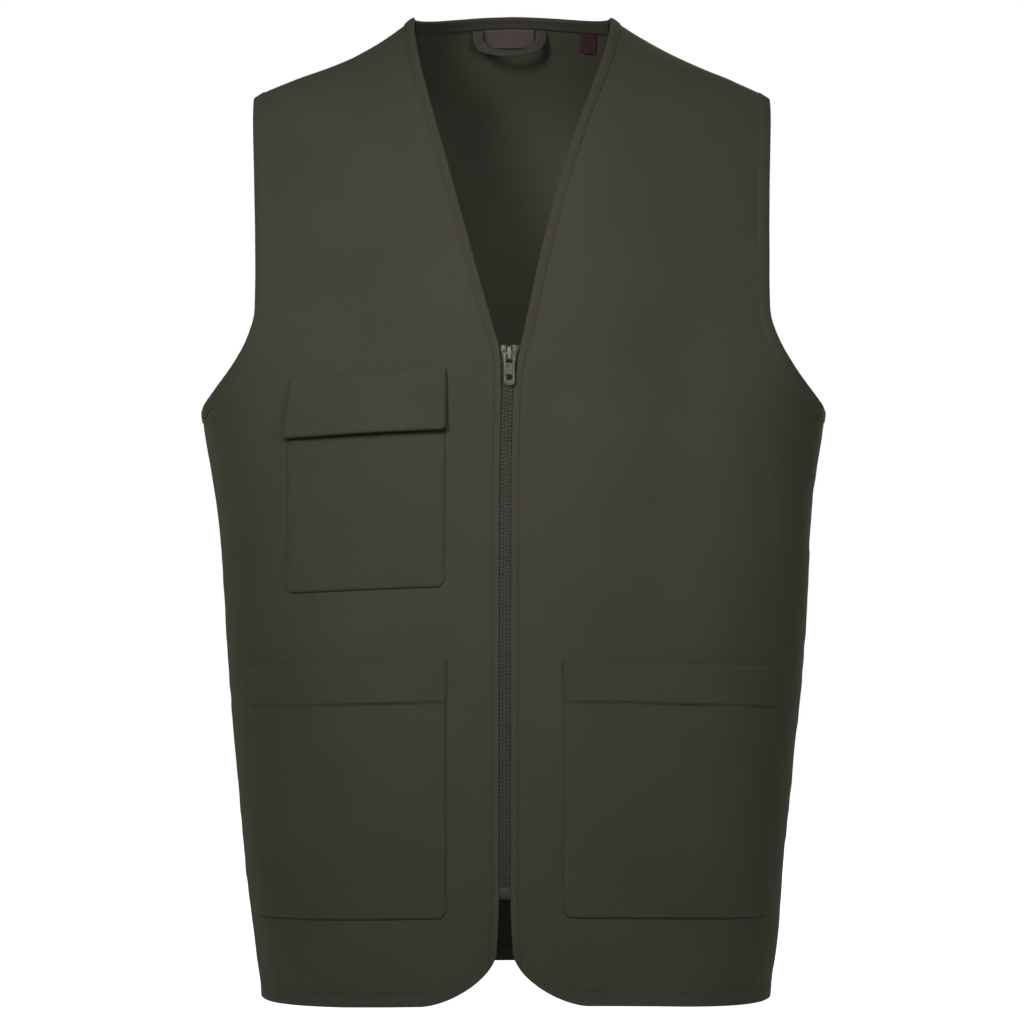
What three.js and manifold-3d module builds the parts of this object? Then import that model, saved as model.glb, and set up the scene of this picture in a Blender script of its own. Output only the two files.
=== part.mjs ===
import * as THREE from 'three';
import { mergeVertices } from 'three/addons/utils/BufferGeometryUtils.js';
import Module from 'manifold-3d';

// Utility work vest of woven cotton with a zip front, in the form that it has when worn.
// Lengths are millimetres. The wearer's right is -X, the front faces -Y and up is +Z.
// While the pieces are worked out, heights run up from the hem and depths from the side seams.

// Body of the vest
const BODY_LENGTH = 702;
const HALF_CHEST = 227;
const CHEST_DEPTH = 120;
const BACK_DEPTH = 118;
const SHOULDER_HALF = 188;
const SHOULDER_DROP = 58;
const SHOULDER_SEAM_DEPTH = 6;
const FRONT_SHOULDER_ROUND = 240;
const BACK_SHOULDER_ROUND = 170;
const ARMHOLE_DEPTH = 286;
const ARMHOLE_INSET = 5;
const ARMHOLE_BEND = 78;
const CLOTH = 1.2;
const SEAM_GAP = 0.3;
const FOLD_HEIGHT = 5;
const SIDE_DROP = 9;
const BACK_DROP = 4;
const VENT_SPREAD = 2.5;
const VENT_HEIGHT = 24;

// Neck
const NECK_HALF = 72.5;
const NECK_DROP = 245;
const NAPE_RISE = 11;
const NAPE_DEPTH = 72;
const NECK_BAND = 6;
const NECK_BAND_THICK = 1;
const NECK_TAPE = 7.5;
const NECK_TAPE_THICK = 1;

// Armhole binding
const BINDING_WIDTH = 6.5;
const BINDING_THICK = 2.6;
const BINDING_GAP = 0.5;

// Front edges and hem corners
const ZIP_SHIFT = -5;
const EDGE_GAP = 4.4;
const EDGE_GAP_TOP = 8.3;
const EDGE_GAP_FADE = 12;
const ZIP_BEND_FADE = 48;
const STRAIGHT_BELOW_ZIP_TOP = 80;
const HEM_FLARE = 4;
const HEM_CORNER_WIDTH = 50;
const HEM_CORNER_HEIGHT = 36;

// Zip
const ZIP_LENGTH = 383;
const TAPE_INNER = 3.6;
const TAPE_WIDTH = 12.5;
const TAPE_THICK = 1;
const TEETH_WIDTH = 3.1;
const TEETH_THICK = 2.6;
const BOX_WIDTH = 7.8;
const BOX_HEIGHT = 8.3;
const BOX_THICK = 3.4;
const BOX_CORNER = 1;

// Slider and pull
const SLIDER_LENGTH = 12;
const SLIDER_WIDTH = 12.5;
const SLIDER_FOOT = 8.8;
const PLATE_THICK = 1.2;
const FRONT_CLEAR = 0.5;
const BACK_CLEAR = 0.5;
const SLIDER_CORNER = 1;
const SLIDER_SHOULDER = 3;
const SLIDER_CROWN_DIP = 1.6;
const SLIDER_WAIST = 0.2;
const POST_WIDTH = 2.8;
const POST_CORNER = 0.6;
const POST_HEIGHT = 3.6;
const POST_BELOW_TOP = 1.2;
const LOBE_RADIUS = 1.9;
const LOBE_HEIGHT = 0.8;
const LOBE_SPREAD = 3.4;
const LOBE_BELOW_TOP = 0.6;
const LOBE_SUNK = 0.2;
const BAIL_LENGTH = 11.6;
const BAIL_WIDTH = 2.4;
const BAIL_THICK = 1.1;
const BAIL_REACH = 3.2;
const BAIL_CORNER = 1.7;
const BAIL_INNER_CORNER = 1;
const BAIL_SUNK = 0.3;
const PULL_WIDTH = 7.4;
const PULL_THICK = 1.4;
const PULL_LENGTH = 22.5;
const PULL_BAR = 1.5;
const PULL_FOOT_CORNER = 3;
const PULL_FOOT_RISE = 0.8;
const PULL_FOOT_FLAT = 1.6;
const PULL_TOP_CORNER = 0.8;
const PULL_STANDOFF = 1.9;
const SLOT_WIDTH = 4.3;
const SLOT_REACH = 6.6;
const WINDOW_SIZE = 4.2;
const WINDOW_REACH = 16.6;

// Lower pockets
const POCKET_RISE = 61;
const POCKET_HEIGHT = 177;
const POCKET_BAND = 28;
const POCKET_FRONT_MARGIN = 36;
const POCKET_SIDE_MARGIN = 6;
const POCKET_SWELL = 1.6;

// Chest pocket
const CHEST_POCKET_DROP = 261;
const CHEST_POCKET_HEIGHT = 153;
const CHEST_POCKET_WIDTH = 111;
const CHEST_POCKET_MARGIN = 37.5;
const FLAP_HEIGHT = 43;
const FLAP_OVERHANG = 2.5;
const FLAP_LIFT = 1.2;
const FLAP_ROLL = 0.9;
const MOUTH_BELOW_SEAM = 12;
const CHEST_POCKET_SWELL = 0.8;

// Loop and labels inside the back neck
const LOOP_SPREAD = 49;
const LOOP_SHIFT = -2;
const LOOP_STRAP = 8;
const LOOP_DROP = 17;
const LOOP_STRAP_BELOW = 4;
const LOOP_THICK = 1.2;
const LOOP_STANDOFF = 2.5;
const LOOP_SQUARENESS = 0.5;
const LABEL_WIDTH = 38;
const LABEL_HEIGHT = 12.5;
const LABEL_SHIFT = -2;
const TAB_WIDTH = 12;
const TAB_HEIGHT = 12.5;
const TAB_SHIFT = 58;
const LABEL_THICK = 0.8;
const LABEL_GAP = 0.7;

// Mesh density
const ROW_STEP = 30;
const UNDERARM_STEPS = [3, 11];
const FRONT_CELLS = [2, 5, 3, 3];
const SHOULDER_ROWS = 9;
const NECK_CELLS = 4;
const SHOULDER_CELLS = 7;
const CURVE_SEGMENTS = 4;
const LOBE_SEGMENTS = 5;
const PULL_SEGMENTS = 3;
const LOOP_STEPS = 12;

// Body sections from the hem up. Heights are shares of the underarm height, half widths
// shares of HALF_CHEST, front and back shares of CHEST_DEPTH and BACK_DEPTH.
const SECTIONS = [
  { height: 0.0, right: 0.805, left: 0.83, front: 1.12, back: 1.2 },
  { height: 0.1, right: 0.828, left: 0.854, front: 1.15, back: 1.19 },
  { height: 0.25, right: 0.856, left: 0.877, front: 1.17, back: 1.16 },
  { height: 0.4, right: 0.881, left: 0.902, front: 1.15, back: 1.1 },
  { height: 0.55, right: 0.907, left: 0.9295, front: 1.12, back: 1.03 },
  { height: 0.7, right: 0.925, left: 0.95, front: 1.09, back: 1.0 },
  { height: 0.85, right: 0.9515, left: 0.966, front: 1.06, back: 1.01 },
  { height: 1.0, right: 0.997, left: 1.006, front: 1.03, back: 1.03 },
  { height: 1.15, right: 1.02, left: 1.025, front: 1.0, back: 1.03 },
  { height: 1.4, right: 1.025, left: 1.03, front: 0.98, back: 1.0 },
  { height: 1.8, right: 1.025, left: 1.03, front: 0.97, back: 0.97 },
];

// Soft folds. Places across are shares of HALF_CHEST, places up, lengths and widths shares of
// BODY_LENGTH, turns degrees from level towards +X, and rises shares of FOLD_HEIGHT outward.
const FRONT_FOLDS = [
  { across: -0.7, up: 0.7, turn: -35, length: 0.14, width: 0.05, rise: -1.0 },
  { across: 0.7, up: 0.68, turn: 28, length: 0.14, width: 0.055, rise: -1.2 },
  { across: -0.44, up: 0.78, turn: 80, length: 0.12, width: 0.1, rise: 0.8 },
  { across: 0.46, up: 0.79, turn: 100, length: 0.12, width: 0.1, rise: 0.8 },
  { across: 0.5, up: 0.5, turn: 86, length: 0.22, width: 0.05, rise: -0.9 },
  { across: 0.22, up: 0.5, turn: 88, length: 0.2, width: 0.05, rise: 0.6 },
  { across: -0.5, up: 0.4, turn: 84, length: 0.16, width: 0.07, rise: 0.7 },
  { across: -0.5, up: 0.03, turn: 70, length: 0.1, width: 0.06, rise: 0.8 },
  { across: 0.46, up: 0.03, turn: 55, length: 0.1, width: 0.045, rise: -0.9 },
  { across: 0.74, up: 0.05, turn: 80, length: 0.1, width: 0.05, rise: 0.7 },
  { across: 0.5, up: 0.22, turn: 60, length: 0.14, width: 0.07, rise: -0.6 },
  { across: -0.45, up: 0.2, turn: 95, length: 0.16, width: 0.09, rise: 0.6 },
];
const BACK_FOLDS = [
  { across: -0.52, up: 0.62, turn: 96, length: 0.2, width: 0.06, rise: 1.0 },
  { across: 0.54, up: 0.6, turn: 84, length: 0.2, width: 0.06, rise: 1.0 },
  { across: 0.0, up: 0.72, turn: 90, length: 0.16, width: 0.09, rise: -0.8 },
  { across: -0.28, up: 0.3, turn: 92, length: 0.24, width: 0.06, rise: -0.8 },
  { across: 0.32, up: 0.24, turn: 88, length: 0.2, width: 0.06, rise: -0.8 },
  { across: -0.8, up: 0.66, turn: 30, length: 0.1, width: 0.05, rise: -1.0 },
  { across: 0.8, up: 0.66, turn: -30, length: 0.1, width: 0.05, rise: -1.0 },
];

// Shape numbers of the curves, without unit
const SECTION_POWER = 2.3;
const FRONT_ROUND_POWER = 1.6;
const BACK_ROUND_POWER = 1.8;
const ARMHOLE_POWER = 1.75;
const HEM_CORNER_POWER = 1.65;
const NAPE_POWER = 1.25;
const SHOULDER_BLEND_POWER = 6;
const VENT_POWER = 12;
const FLARE_POWER = 1.5;
const LOWERING_POWER = 4;
const SLOPE_FADE = 3;
const ZIP_TOP_BEND = 0.72;
const BINDING_LEAN = 0.87;

const SIDES = [
  { name: 'right', sign: -1, ridgeSag: 0.19, neckBow: 2 },
  { name: 'left', sign: 1, ridgeSag: 0.15, neckBow: -5 },
];

const UNDERARM = BODY_LENGTH - ARMHOLE_DEPTH;
const ARMHOLE_HALF = SHOULDER_HALF - ARMHOLE_INSET;
const UNDERARM_CUT = UNDERARM - BINDING_WIDTH - BINDING_GAP;
const ZIP_TOP = BODY_LENGTH - NECK_DROP;
const ZIP_BOTTOM = ZIP_TOP - ZIP_LENGTH;
const NAPE = BODY_LENGTH + NAPE_RISE;
const POCKET_TOP = POCKET_RISE + POCKET_HEIGHT;
const FLAP_TOP = BODY_LENGTH - CHEST_POCKET_DROP;
const FLAP_BOTTOM = FLAP_TOP - FLAP_HEIGHT;
const CHEST_MOUTH = FLAP_TOP - MOUTH_BELOW_SEAM;
const CHEST_BOTTOM = FLAP_TOP - CHEST_POCKET_HEIGHT;
const BINDING_INSET = (BINDING_WIDTH + BINDING_GAP) * BINDING_LEAN;

function lerp(a, b, t) {
  return a + (b - a) * t;
}

function clamp(value, low, high) {
  return Math.min(Math.max(value, low), high);
}

// Smooth curve through the rows of a table
function sectionValue(column, height) {
  const share = clamp(height / UNDERARM, SECTIONS[0].height, SECTIONS.at(-1).height);
  const last = SECTIONS.length - 1;
  let k = 0;
  while (k < last - 1 && share > SECTIONS[k + 1].height) {
    k += 1;
  }
  const slope = (i) => {
    const lower = SECTIONS[Math.max(i - 1, 0)];
    const upper = SECTIONS[Math.min(i + 1, last)];
    return (upper[column] - lower[column]) / (upper.height - lower.height);
  };
  const span = SECTIONS[k + 1].height - SECTIONS[k].height;
  const t = (share - SECTIONS[k].height) / span;
  const start = (1 + 2 * t) * (1 - t) ** 2 * SECTIONS[k][column];
  const end = t * t * (3 - 2 * t) * SECTIONS[k + 1][column];
  return start + end + span * (t * (1 - t) ** 2 * slope(k) - t * t * (1 - t) * slope(k + 1));
}

function sideOf(x) {
  return x < 0 ? SIDES[0] : SIDES[1];
}

function halfWidth(side, z) {
  return HALF_CHEST * sectionValue(side.name, z);
}

// Angle round the section whose sine gives the place across, and its inverse
function angleAt(x, z) {
  const share = Math.abs(x) / halfWidth(sideOf(x), z);
  return Math.sign(x) * Math.asin(Math.min(share, 1) ** (SECTION_POWER / 2));
}

function acrossAt(angle, z) {
  const width = halfWidth(sideOf(angle), z);
  return Math.sign(angle) * width * Math.abs(Math.sin(angle)) ** (2 / SECTION_POWER);
}

// Shoulder line. Inside the neck it runs on upward, which shapes the slope beside the neck.
function shoulderHeight(x) {
  const side = sideOf(x);
  const f = (Math.abs(x) - NECK_HALF) / (SHOULDER_HALF - NECK_HALF);
  const start = 1 + side.ridgeSag * Math.PI;
  let share = start * f * Math.exp(SLOPE_FADE * f);
  if (f > 0) {
    share = f + side.ridgeSag * Math.sin(Math.PI * Math.min(f, 1)) * (1 - Math.min(f, 1));
  }
  return BODY_LENGTH - SHOULDER_DROP * share;
}

function roundOver(drop, reach, power) {
  const left = 1 - clamp(drop / reach, 0, 1);
  return (1 - left ** power) ** (1 / power);
}

function foldRise(folds, x, z) {
  let rise = 0;
  for (const fold of folds) {
    const turn = THREE.MathUtils.degToRad(fold.turn);
    const dx = x - fold.across * HALF_CHEST;
    const dz = z - fold.up * BODY_LENGTH;
    const along = (dx * Math.cos(turn) + dz * Math.sin(turn)) / (fold.length * BODY_LENGTH);
    const beside = (dz * Math.cos(turn) - dx * Math.sin(turn)) / (fold.width * BODY_LENGTH);
    rise += fold.rise * FOLD_HEIGHT * Math.exp(-along * along - beside * beside);
  }
  return rise;
}

function sectionDepth(x, z, depth, folds) {
  const share = Math.min(Math.abs(x) / halfWidth(sideOf(x), z), 1);
  const round = (1 - share ** SECTION_POWER) ** (1 / SECTION_POWER);
  return depth * round + foldRise(folds, x, z) * Math.sqrt(round);
}

function frontDepth(x, z) {
  const full = -sectionDepth(x, z, CHEST_DEPTH * sectionValue('front', z), FRONT_FOLDS);
  const drop = shoulderHeight(x) - z;
  const share = roundOver(drop, FRONT_SHOULDER_ROUND, FRONT_ROUND_POWER);
  return lerp(SHOULDER_SEAM_DEPTH, full, share) - SEAM_GAP / 2;
}

// The back rises above the shoulder line inside the neck, so that the nape lies NAPE_DEPTH back
function backRidge(x) {
  const share = NAPE_DEPTH / (BACK_DEPTH * sectionValue('back', NAPE));
  const left = (1 - share ** BACK_ROUND_POWER) ** (1 / BACK_ROUND_POWER);
  const raise = NAPE + BACK_SHOULDER_ROUND * (1 - left) - shoulderHeight(0);
  const across = Math.min(Math.abs(x) / NECK_HALF, 1);
  return shoulderHeight(x) + raise * (1 - across * across) ** NAPE_POWER;
}

function backDepth(x, z) {
  const full = sectionDepth(x, z, BACK_DEPTH * sectionValue('back', z), BACK_FOLDS);
  const share = roundOver(backRidge(x) - z, BACK_SHOULDER_ROUND, BACK_ROUND_POWER);
  return lerp(SHOULDER_SEAM_DEPTH, full, share) + SEAM_GAP / 2;
}

// Lines on the front
function zipAcross(z) {
  const below = Math.max(ZIP_TOP - z, 0);
  return ZIP_SHIFT * (1 - ZIP_TOP_BEND * Math.exp(-below / ZIP_BEND_FADE));
}

function innerEdge(side, z) {
  const fade = Math.exp(-Math.max(ZIP_TOP - z, 0) / EDGE_GAP_FADE);
  let gap = EDGE_GAP + (EDGE_GAP_TOP - EDGE_GAP) * fade;
  if (z < ZIP_BOTTOM) {
    gap += HEM_FLARE * ((ZIP_BOTTOM - z) / ZIP_BOTTOM) ** FLARE_POWER;
  }
  const edge = zipAcross(z) + side.sign * gap;
  if (z <= ZIP_TOP) {
    return edge;
  }
  const h = Math.min((z - ZIP_TOP) / NECK_DROP, 1);
  return lerp(edge, side.sign * NECK_HALF, h) + side.sign * side.neckBow * 4 * h * (1 - h);
}

// Cut edge of the armhole, inside its binding
function armholeEdge(side, z) {
  const bend = UNDERARM_CUT + ARMHOLE_BEND;
  const straight = ARMHOLE_HALF - BINDING_INSET;
  if (z < bend) {
    const share = (bend - z) / ARMHOLE_BEND;
    return lerp(straight, halfWidth(side, UNDERARM_CUT), share ** ARMHOLE_POWER);
  }
  const tip = BODY_LENGTH - SHOULDER_DROP;
  const up = Math.min((z - bend) / (tip - bend), 1);
  return lerp(straight, SHOULDER_HALF - BINDING_INSET, up * up);
}

function outerAngle(side, z) {
  if (z <= UNDERARM_CUT) {
    return Math.PI / 2;
  }
  return Math.abs(angleAt(side.sign * armholeEdge(side, z), z));
}

// Column lines of a front, from the front edge out, as angles round the section. Above the
// pockets each keeps the share of the width that it has at the pocket's top.
function shareLine(side, across, low, high) {
  return (z) => {
    const level = clamp(z, low, high);
    const start = Math.abs(angleAt(innerEdge(side, level) + side.sign * NECK_BAND, level));
    const end = outerAngle(side, level);
    return (Math.abs(angleAt(across(level), level)) - start) / (end - start);
  };
}

function frontColumns(side) {
  const edgeAt = (z) => innerEdge(side, Math.min(z, ZIP_TOP));
  const rise = (z) => clamp((z - POCKET_TOP) / (CHEST_BOTTOM - POCKET_TOP), 0, 1);
  const margin = (z) => {
    const chest = side.sign < 0 ? CHEST_POCKET_MARGIN : POCKET_FRONT_MARGIN;
    return lerp(POCKET_FRONT_MARGIN, chest, rise(z));
  };
  const straightTop = ZIP_TOP - STRAIGHT_BELOW_ZIP_TOP;
  const pocketEdge = (z) => {
    return innerEdge(side, clamp(z, ZIP_BOTTOM, straightTop)) + side.sign * margin(z);
  };
  const chestOuter = () => {
    return innerEdge(side, CHEST_BOTTOM) + side.sign * (CHEST_POCKET_MARGIN + CHEST_POCKET_WIDTH);
  };
  const pocketOuter = () => side.sign * (halfWidth(side, POCKET_RISE) - POCKET_SIDE_MARGIN);
  const inner = shareLine(side, pocketEdge, POCKET_RISE, FLAP_TOP);
  const middle = shareLine(side, chestOuter, CHEST_BOTTOM, FLAP_TOP);
  const outerLow = shareLine(side, pocketOuter, POCKET_RISE, POCKET_TOP);
  const outer = (z) => {
    const part = (outerLow(z) - middle(Math.min(z, POCKET_TOP))) / (1 - middle(POCKET_TOP));
    return z > POCKET_TOP ? lerp(middle(z), 1, part) : outerLow(z);
  };
  const lines = [() => 0, inner, middle, outer];
  const shares = lines.map((line, k) => ({ line, cells: FRONT_CELLS[k] }));
  const columns = [(z) => angleAt(innerEdge(side, z), z)];
  const bandAngle = (z) => angleAt(innerEdge(side, z) + side.sign * NECK_BAND, z);
  const endAngle = (z) => side.sign * outerAngle(side, z);
  shares.forEach((part, k) => {
    const next = k + 1 < shares.length ? shares[k + 1].line : () => 1;
    for (let c = 0; c < part.cells; c += 1) {
      columns.push((z) => {
        const share = lerp(part.line(z), next(z), c / part.cells);
        return lerp(bandAngle(z), endAngle(z), share);
      });
    }
  });
  columns.push(endAngle);
  return columns;
}

const COLUMN = { edge: 0, band: 1 };
COLUMN.pocketInner = COLUMN.band + FRONT_CELLS[0];
COLUMN.chestOuter = COLUMN.pocketInner + FRONT_CELLS[1];
COLUMN.pocketOuter = COLUMN.chestOuter + FRONT_CELLS[2];

// Row levels between the named ones, at most ROW_STEP apart
function levelRows(levels) {
  const sorted = [...levels].sort((a, b) => a - b);
  const rows = [sorted[0]];
  for (let k = 1; k < sorted.length; k += 1) {
    const parts = Math.ceil((sorted[k] - sorted[k - 1]) / ROW_STEP);
    for (let p = 1; p < parts; p += 1) {
      rows.push(lerp(sorted[k - 1], sorted[k], p / parts));
    }
    rows.push(sorted[k]);
  }
  return rows.map((level) => ({ level, climb: 0 }));
}

function climbRows() {
  const rows = [];
  for (let k = 1; k <= SHOULDER_ROWS; k += 1) {
    rows.push({ level: ZIP_TOP, climb: Math.sin((k / SHOULDER_ROWS) * (Math.PI / 2)) });
  }
  rows[SHOULDER_ROWS - 2].climb = 1 - NECK_TAPE / (NAPE - ZIP_TOP);
  return rows;
}

const UNDERARM_LEVELS = [0, ...UNDERARM_STEPS].map((step) => UNDERARM_CUT + step);
const LOW_LEVELS = [0, POCKET_RISE, ZIP_BOTTOM, POCKET_TOP - POCKET_BAND, POCKET_TOP];
const CHEST_LEVELS = [CHEST_BOTTOM, FLAP_BOTTOM, CHEST_MOUTH, FLAP_TOP];

function rowAt(rows, level) {
  return rows.findIndex((row) => row.climb === 0 && Math.abs(row.level - level) < 1e-9);
}

function lowering(x, z, centreDrop) {
  const fade = 1 - clamp(z / UNDERARM_CUT, 0, 1) ** LOWERING_POWER;
  const share = (x / halfWidth(sideOf(x), z)) ** 2;
  return fade * lerp(centreDrop, SIDE_DROP, share);
}

// A lattice of points on the outer face of a panel, with the outward direction at each
function lattice(rows, columns, place, facing, turnAcross, turnUp) {
  const points = rows.map((row, j) => columns.map((column, i) => place(row, column, i, j)));
  const lastRow = rows.length - 1;
  const lastColumn = columns.length - 1;
  const normals = points.map((line, j) => line.map((point, i) => {
    const across = new THREE.Vector3();
    across.subVectors(line[Math.min(i + 1, lastColumn)], line[Math.max(i - 1, 0)]);
    const up = new THREE.Vector3();
    up.subVectors(points[Math.min(j + 1, lastRow)][i], points[Math.max(j - 1, 0)][i]);
    const across2 = turnAcross(i, j, point) ?? across;
    const up2 = turnUp(i, j, point) ?? up;
    return across2.clone().cross(up2).normalize().multiplyScalar(facing);
  }));
  return { rows, points, normals, lastRow, lastColumn };
}

function hemCorner(side, x) {
  const from = Math.abs(x - innerEdge(side, 0));
  const left = clamp(1 - from / HEM_CORNER_WIDTH, 0, 1);
  return HEM_CORNER_HEIGHT * (1 - (1 - left ** HEM_CORNER_POWER) ** (1 / HEM_CORNER_POWER));
}

function vent(level) {
  return VENT_SPREAD * clamp(1 - level / VENT_HEIGHT, 0, 1) ** 2;
}

function frontLattice(side) {
  const levels = [...LOW_LEVELS, ZIP_TOP, ...UNDERARM_LEVELS];
  levels.push(...(side.sign < 0 ? CHEST_LEVELS : [FLAP_BOTTOM, FLAP_TOP]));
  const rows = [...levelRows(levels), ...climbRows()];
  const columns = frontColumns(side);
  const startAngle = Math.abs(angleAt(NECK_HALF, BODY_LENGTH));
  const seamEnd = Math.abs(angleAt(side.sign * (SHOULDER_HALF - BINDING_INSET), BODY_LENGTH));
  const topShare = (i) => {
    const angle = Math.abs(columns[i](BODY_LENGTH));
    const low = Math.abs(columns[0](BODY_LENGTH));
    const high = Math.abs(columns.at(-1)(BODY_LENGTH));
    return (angle - low) / (high - low);
  };
  const place = (row, column, i) => {
    let z = row.level;
    let x = acrossAt(column(z), z);
    if (row.climb > 0) {
      const topX = acrossAt(side.sign * lerp(startAngle, seamEnd, topShare(i)), BODY_LENGTH);
      z = lerp(row.level, shoulderHeight(topX), row.climb);
      x = lerp(acrossAt(column(z), z), topX, row.climb ** SHOULDER_BLEND_POWER);
    } else if (row.level < POCKET_RISE) {
      z = lerp(hemCorner(side, x), POCKET_RISE, row.level / POCKET_RISE);
      x = acrossAt(column(z), z);
    }
    const share = Math.abs(x) / halfWidth(side, z);
    const y = frontDepth(x, z) - vent(row.level) * share ** VENT_POWER;
    return new THREE.Vector3(x, y, z - lowering(x, row.level, 0));
  };
  const turnAcross = (i, j) => {
    const seam = i === columns.length - 1 && rows[j].climb === 0 && rows[j].level <= UNDERARM_CUT;
    return seam ? new THREE.Vector3(0, 1, 0) : null;
  };
  const turnUp = (i, j) => (j === rows.length - 1 ? new THREE.Vector3(0, 1, 0) : null);
  return lattice(rows, columns, place, side.sign, turnAcross, turnUp);
}

// Columns of the back are shares of its half width, with one at each end of the neckline
function backColumns() {
  const neckEnd = angleAt(NECK_HALF, BODY_LENGTH) / angleAt(SHOULDER_HALF - BINDING_INSET, BODY_LENGTH);
  const half = [];
  for (let k = 1; k <= NECK_CELLS; k += 1) {
    half.push((neckEnd * k) / NECK_CELLS);
  }
  for (let k = 1; k <= SHOULDER_CELLS; k += 1) {
    half.push(lerp(neckEnd, 1, k / SHOULDER_CELLS));
  }
  return [...half.map((share) => -share).reverse(), 0, ...half];
}

function backTop(x) {
  const across = Math.min(Math.abs(x) / NECK_HALF, 1);
  return across < 1 ? BODY_LENGTH + NAPE_RISE * (1 - across * across) : shoulderHeight(x);
}

function backLattice() {
  const levels = [0, VENT_HEIGHT, ...UNDERARM_LEVELS, ZIP_TOP];
  const rows = [...levelRows(levels), ...climbRows()];
  const columns = backColumns();
  const seamEnd = (side) => Math.abs(angleAt(side.sign * (SHOULDER_HALF - BINDING_INSET), BODY_LENGTH));
  const place = (row, share) => {
    const side = sideOf(share);
    const topX = acrossAt(share * seamEnd(side), BODY_LENGTH);
    const z = lerp(row.level, backTop(topX), row.climb);
    const x = lerp(acrossAt(share * outerAngle(side, z), z), topX, row.climb ** SHOULDER_BLEND_POWER);
    const part = Math.abs(x) / halfWidth(side, z);
    const y = backDepth(x, z) + vent(row.level) * part ** VENT_POWER;
    return new THREE.Vector3(x, y, z - lowering(x, row.level, BACK_DROP));
  };
  const turnAcross = (i, j) => {
    const low = rows[j].climb === 0 && rows[j].level <= UNDERARM_CUT;
    if (!low || (i > 0 && i < columns.length - 1)) {
      return null;
    }
    return new THREE.Vector3(0, i === 0 ? 1 : -1, 0);
  };
  const turnUp = (i, j, point) => {
    const seam = j === rows.length - 1 && Math.abs(point.x) > NECK_HALF - 0.5;
    return seam ? new THREE.Vector3(0, -1, 0) : null;
  };
  return lattice(rows, columns, place, -1, turnAcross, turnUp);
}

function offsetPoint(grid, i, j, offset) {
  return grid.points[j][i].clone().addScaledVector(grid.normals[j][i], offset);
}

// Place on the lattice at a fractional column and row, moved out by an offset
function latticePoint(grid, i, j, offset) {
  const i0 = clamp(Math.floor(i), 0, grid.lastColumn - 1);
  const j0 = clamp(Math.floor(j), 0, grid.lastRow - 1);
  const low = offsetPoint(grid, i0, j0, offset).lerp(offsetPoint(grid, i0 + 1, j0, offset), i - i0);
  const high = offsetPoint(grid, i0, j0 + 1, offset);
  high.lerp(offsetPoint(grid, i0 + 1, j0 + 1, offset), i - i0);
  return low.lerp(high, j - j0);
}

function geometryOf(vertices, triangles) {
  const positions = vertices.flatMap((v) => [v.x, v.y, v.z]);
  let volume = 0;
  for (const [a, b, c] of triangles) {
    volume += vertices[a].dot(vertices[b].clone().cross(vertices[c]));
  }
  const index = triangles.flatMap(([a, b, c]) => (volume < 0 ? [a, c, b] : [a, b, c]));
  const geometry = new THREE.BufferGeometry();
  geometry.setAttribute('position', new THREE.Float32BufferAttribute(positions, 3));
  geometry.setIndex(index);
  return geometry;
}

// Closed sheet between two grids of points with the same rows and columns
function sheetBetween(inner, outer) {
  const rows = outer.length;
  const columns = outer[0].length;
  const vertices = [...outer.flat(), ...inner.flat()];
  const shift = rows * columns;
  const at = (i, j) => j * columns + i;
  const triangles = [];
  const quad = (a, b, c, d) => triangles.push([a, b, c], [a, c, d]);
  for (let j = 0; j < rows - 1; j += 1) {
    for (let i = 0; i < columns - 1; i += 1) {
      const corners = [at(i, j), at(i + 1, j), at(i + 1, j + 1), at(i, j + 1)];
      quad(...corners);
      const [a, b, c, d] = corners.map((k) => k + shift);
      triangles.push([a, c, b], [a, d, c]);
    }
  }
  const rim = [];
  for (let i = 0; i < columns - 1; i += 1) {
    rim.push([at(i, 0), at(i + 1, 0)], [at(i + 1, rows - 1), at(i, rows - 1)]);
  }
  for (let j = 0; j < rows - 1; j += 1) {
    rim.push([at(columns - 1, j), at(columns - 1, j + 1)], [at(0, j + 1), at(0, j)]);
  }
  for (const [a, b] of rim) {
    quad(b, a, a + shift, b + shift);
  }
  return geometryOf(vertices, triangles);
}

// Part of a lattice as a sheet from one offset to another, whole lattice lines kept inside it
function patch(grid, columns, rows, innerOffset, outerOffset) {
  const lines = (range) => {
    const values = [range[0]];
    for (let k = Math.floor(range[0]) + 1; k < range[1] - 1e-6; k += 1) {
      values.push(k);
    }
    return [...values, range[1]];
  };
  const across = lines(columns);
  const up = lines(rows);
  const build = (offset) => up.map((j) => across.map((i) => latticePoint(grid, i, j, offset(i, j))));
  return sheetBetween(build(innerOffset), build(outerOffset));
}

// Closed band through four-cornered sections, as a ring or with two ends
function bandThrough(sections, ring) {
  const vertices = sections.flat();
  const corners = sections[0].length;
  const triangles = [];
  const spans = ring ? sections.length : sections.length - 1;
  for (let k = 0; k < spans; k += 1) {
    const next = (k + 1) % sections.length;
    for (let c = 0; c < corners; c += 1) {
      const d = (c + 1) % corners;
      const [a, b] = [k * corners + c, k * corners + d];
      const [e, f] = [next * corners + c, next * corners + d];
      triangles.push([a, b, f], [a, f, e]);
    }
  }
  if (!ring) {
    const end = (sections.length - 1) * corners;
    for (let c = 1; c < corners - 1; c += 1) {
      triangles.push([0, c + 1, c], [end, end + c, end + c + 1]);
    }
  }
  return geometryOf(vertices, triangles);
}

// The origin is where the tape inside the back neck rests on the nape
const NAPE_FACE = NAPE_DEPTH - CLOTH - SEAM_GAP / 2 - NECK_TAPE_THICK;
const vest = new THREE.Group();
vest.name = 'vest';
vest.position.set(0, -NAPE_FACE, -NAPE);

function addPiece(name, geometry, material, parent = vest) {
  const mesh = new THREE.Mesh(geometry, material);
  mesh.name = name;
  parent.add(mesh);
  return mesh;
}

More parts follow.
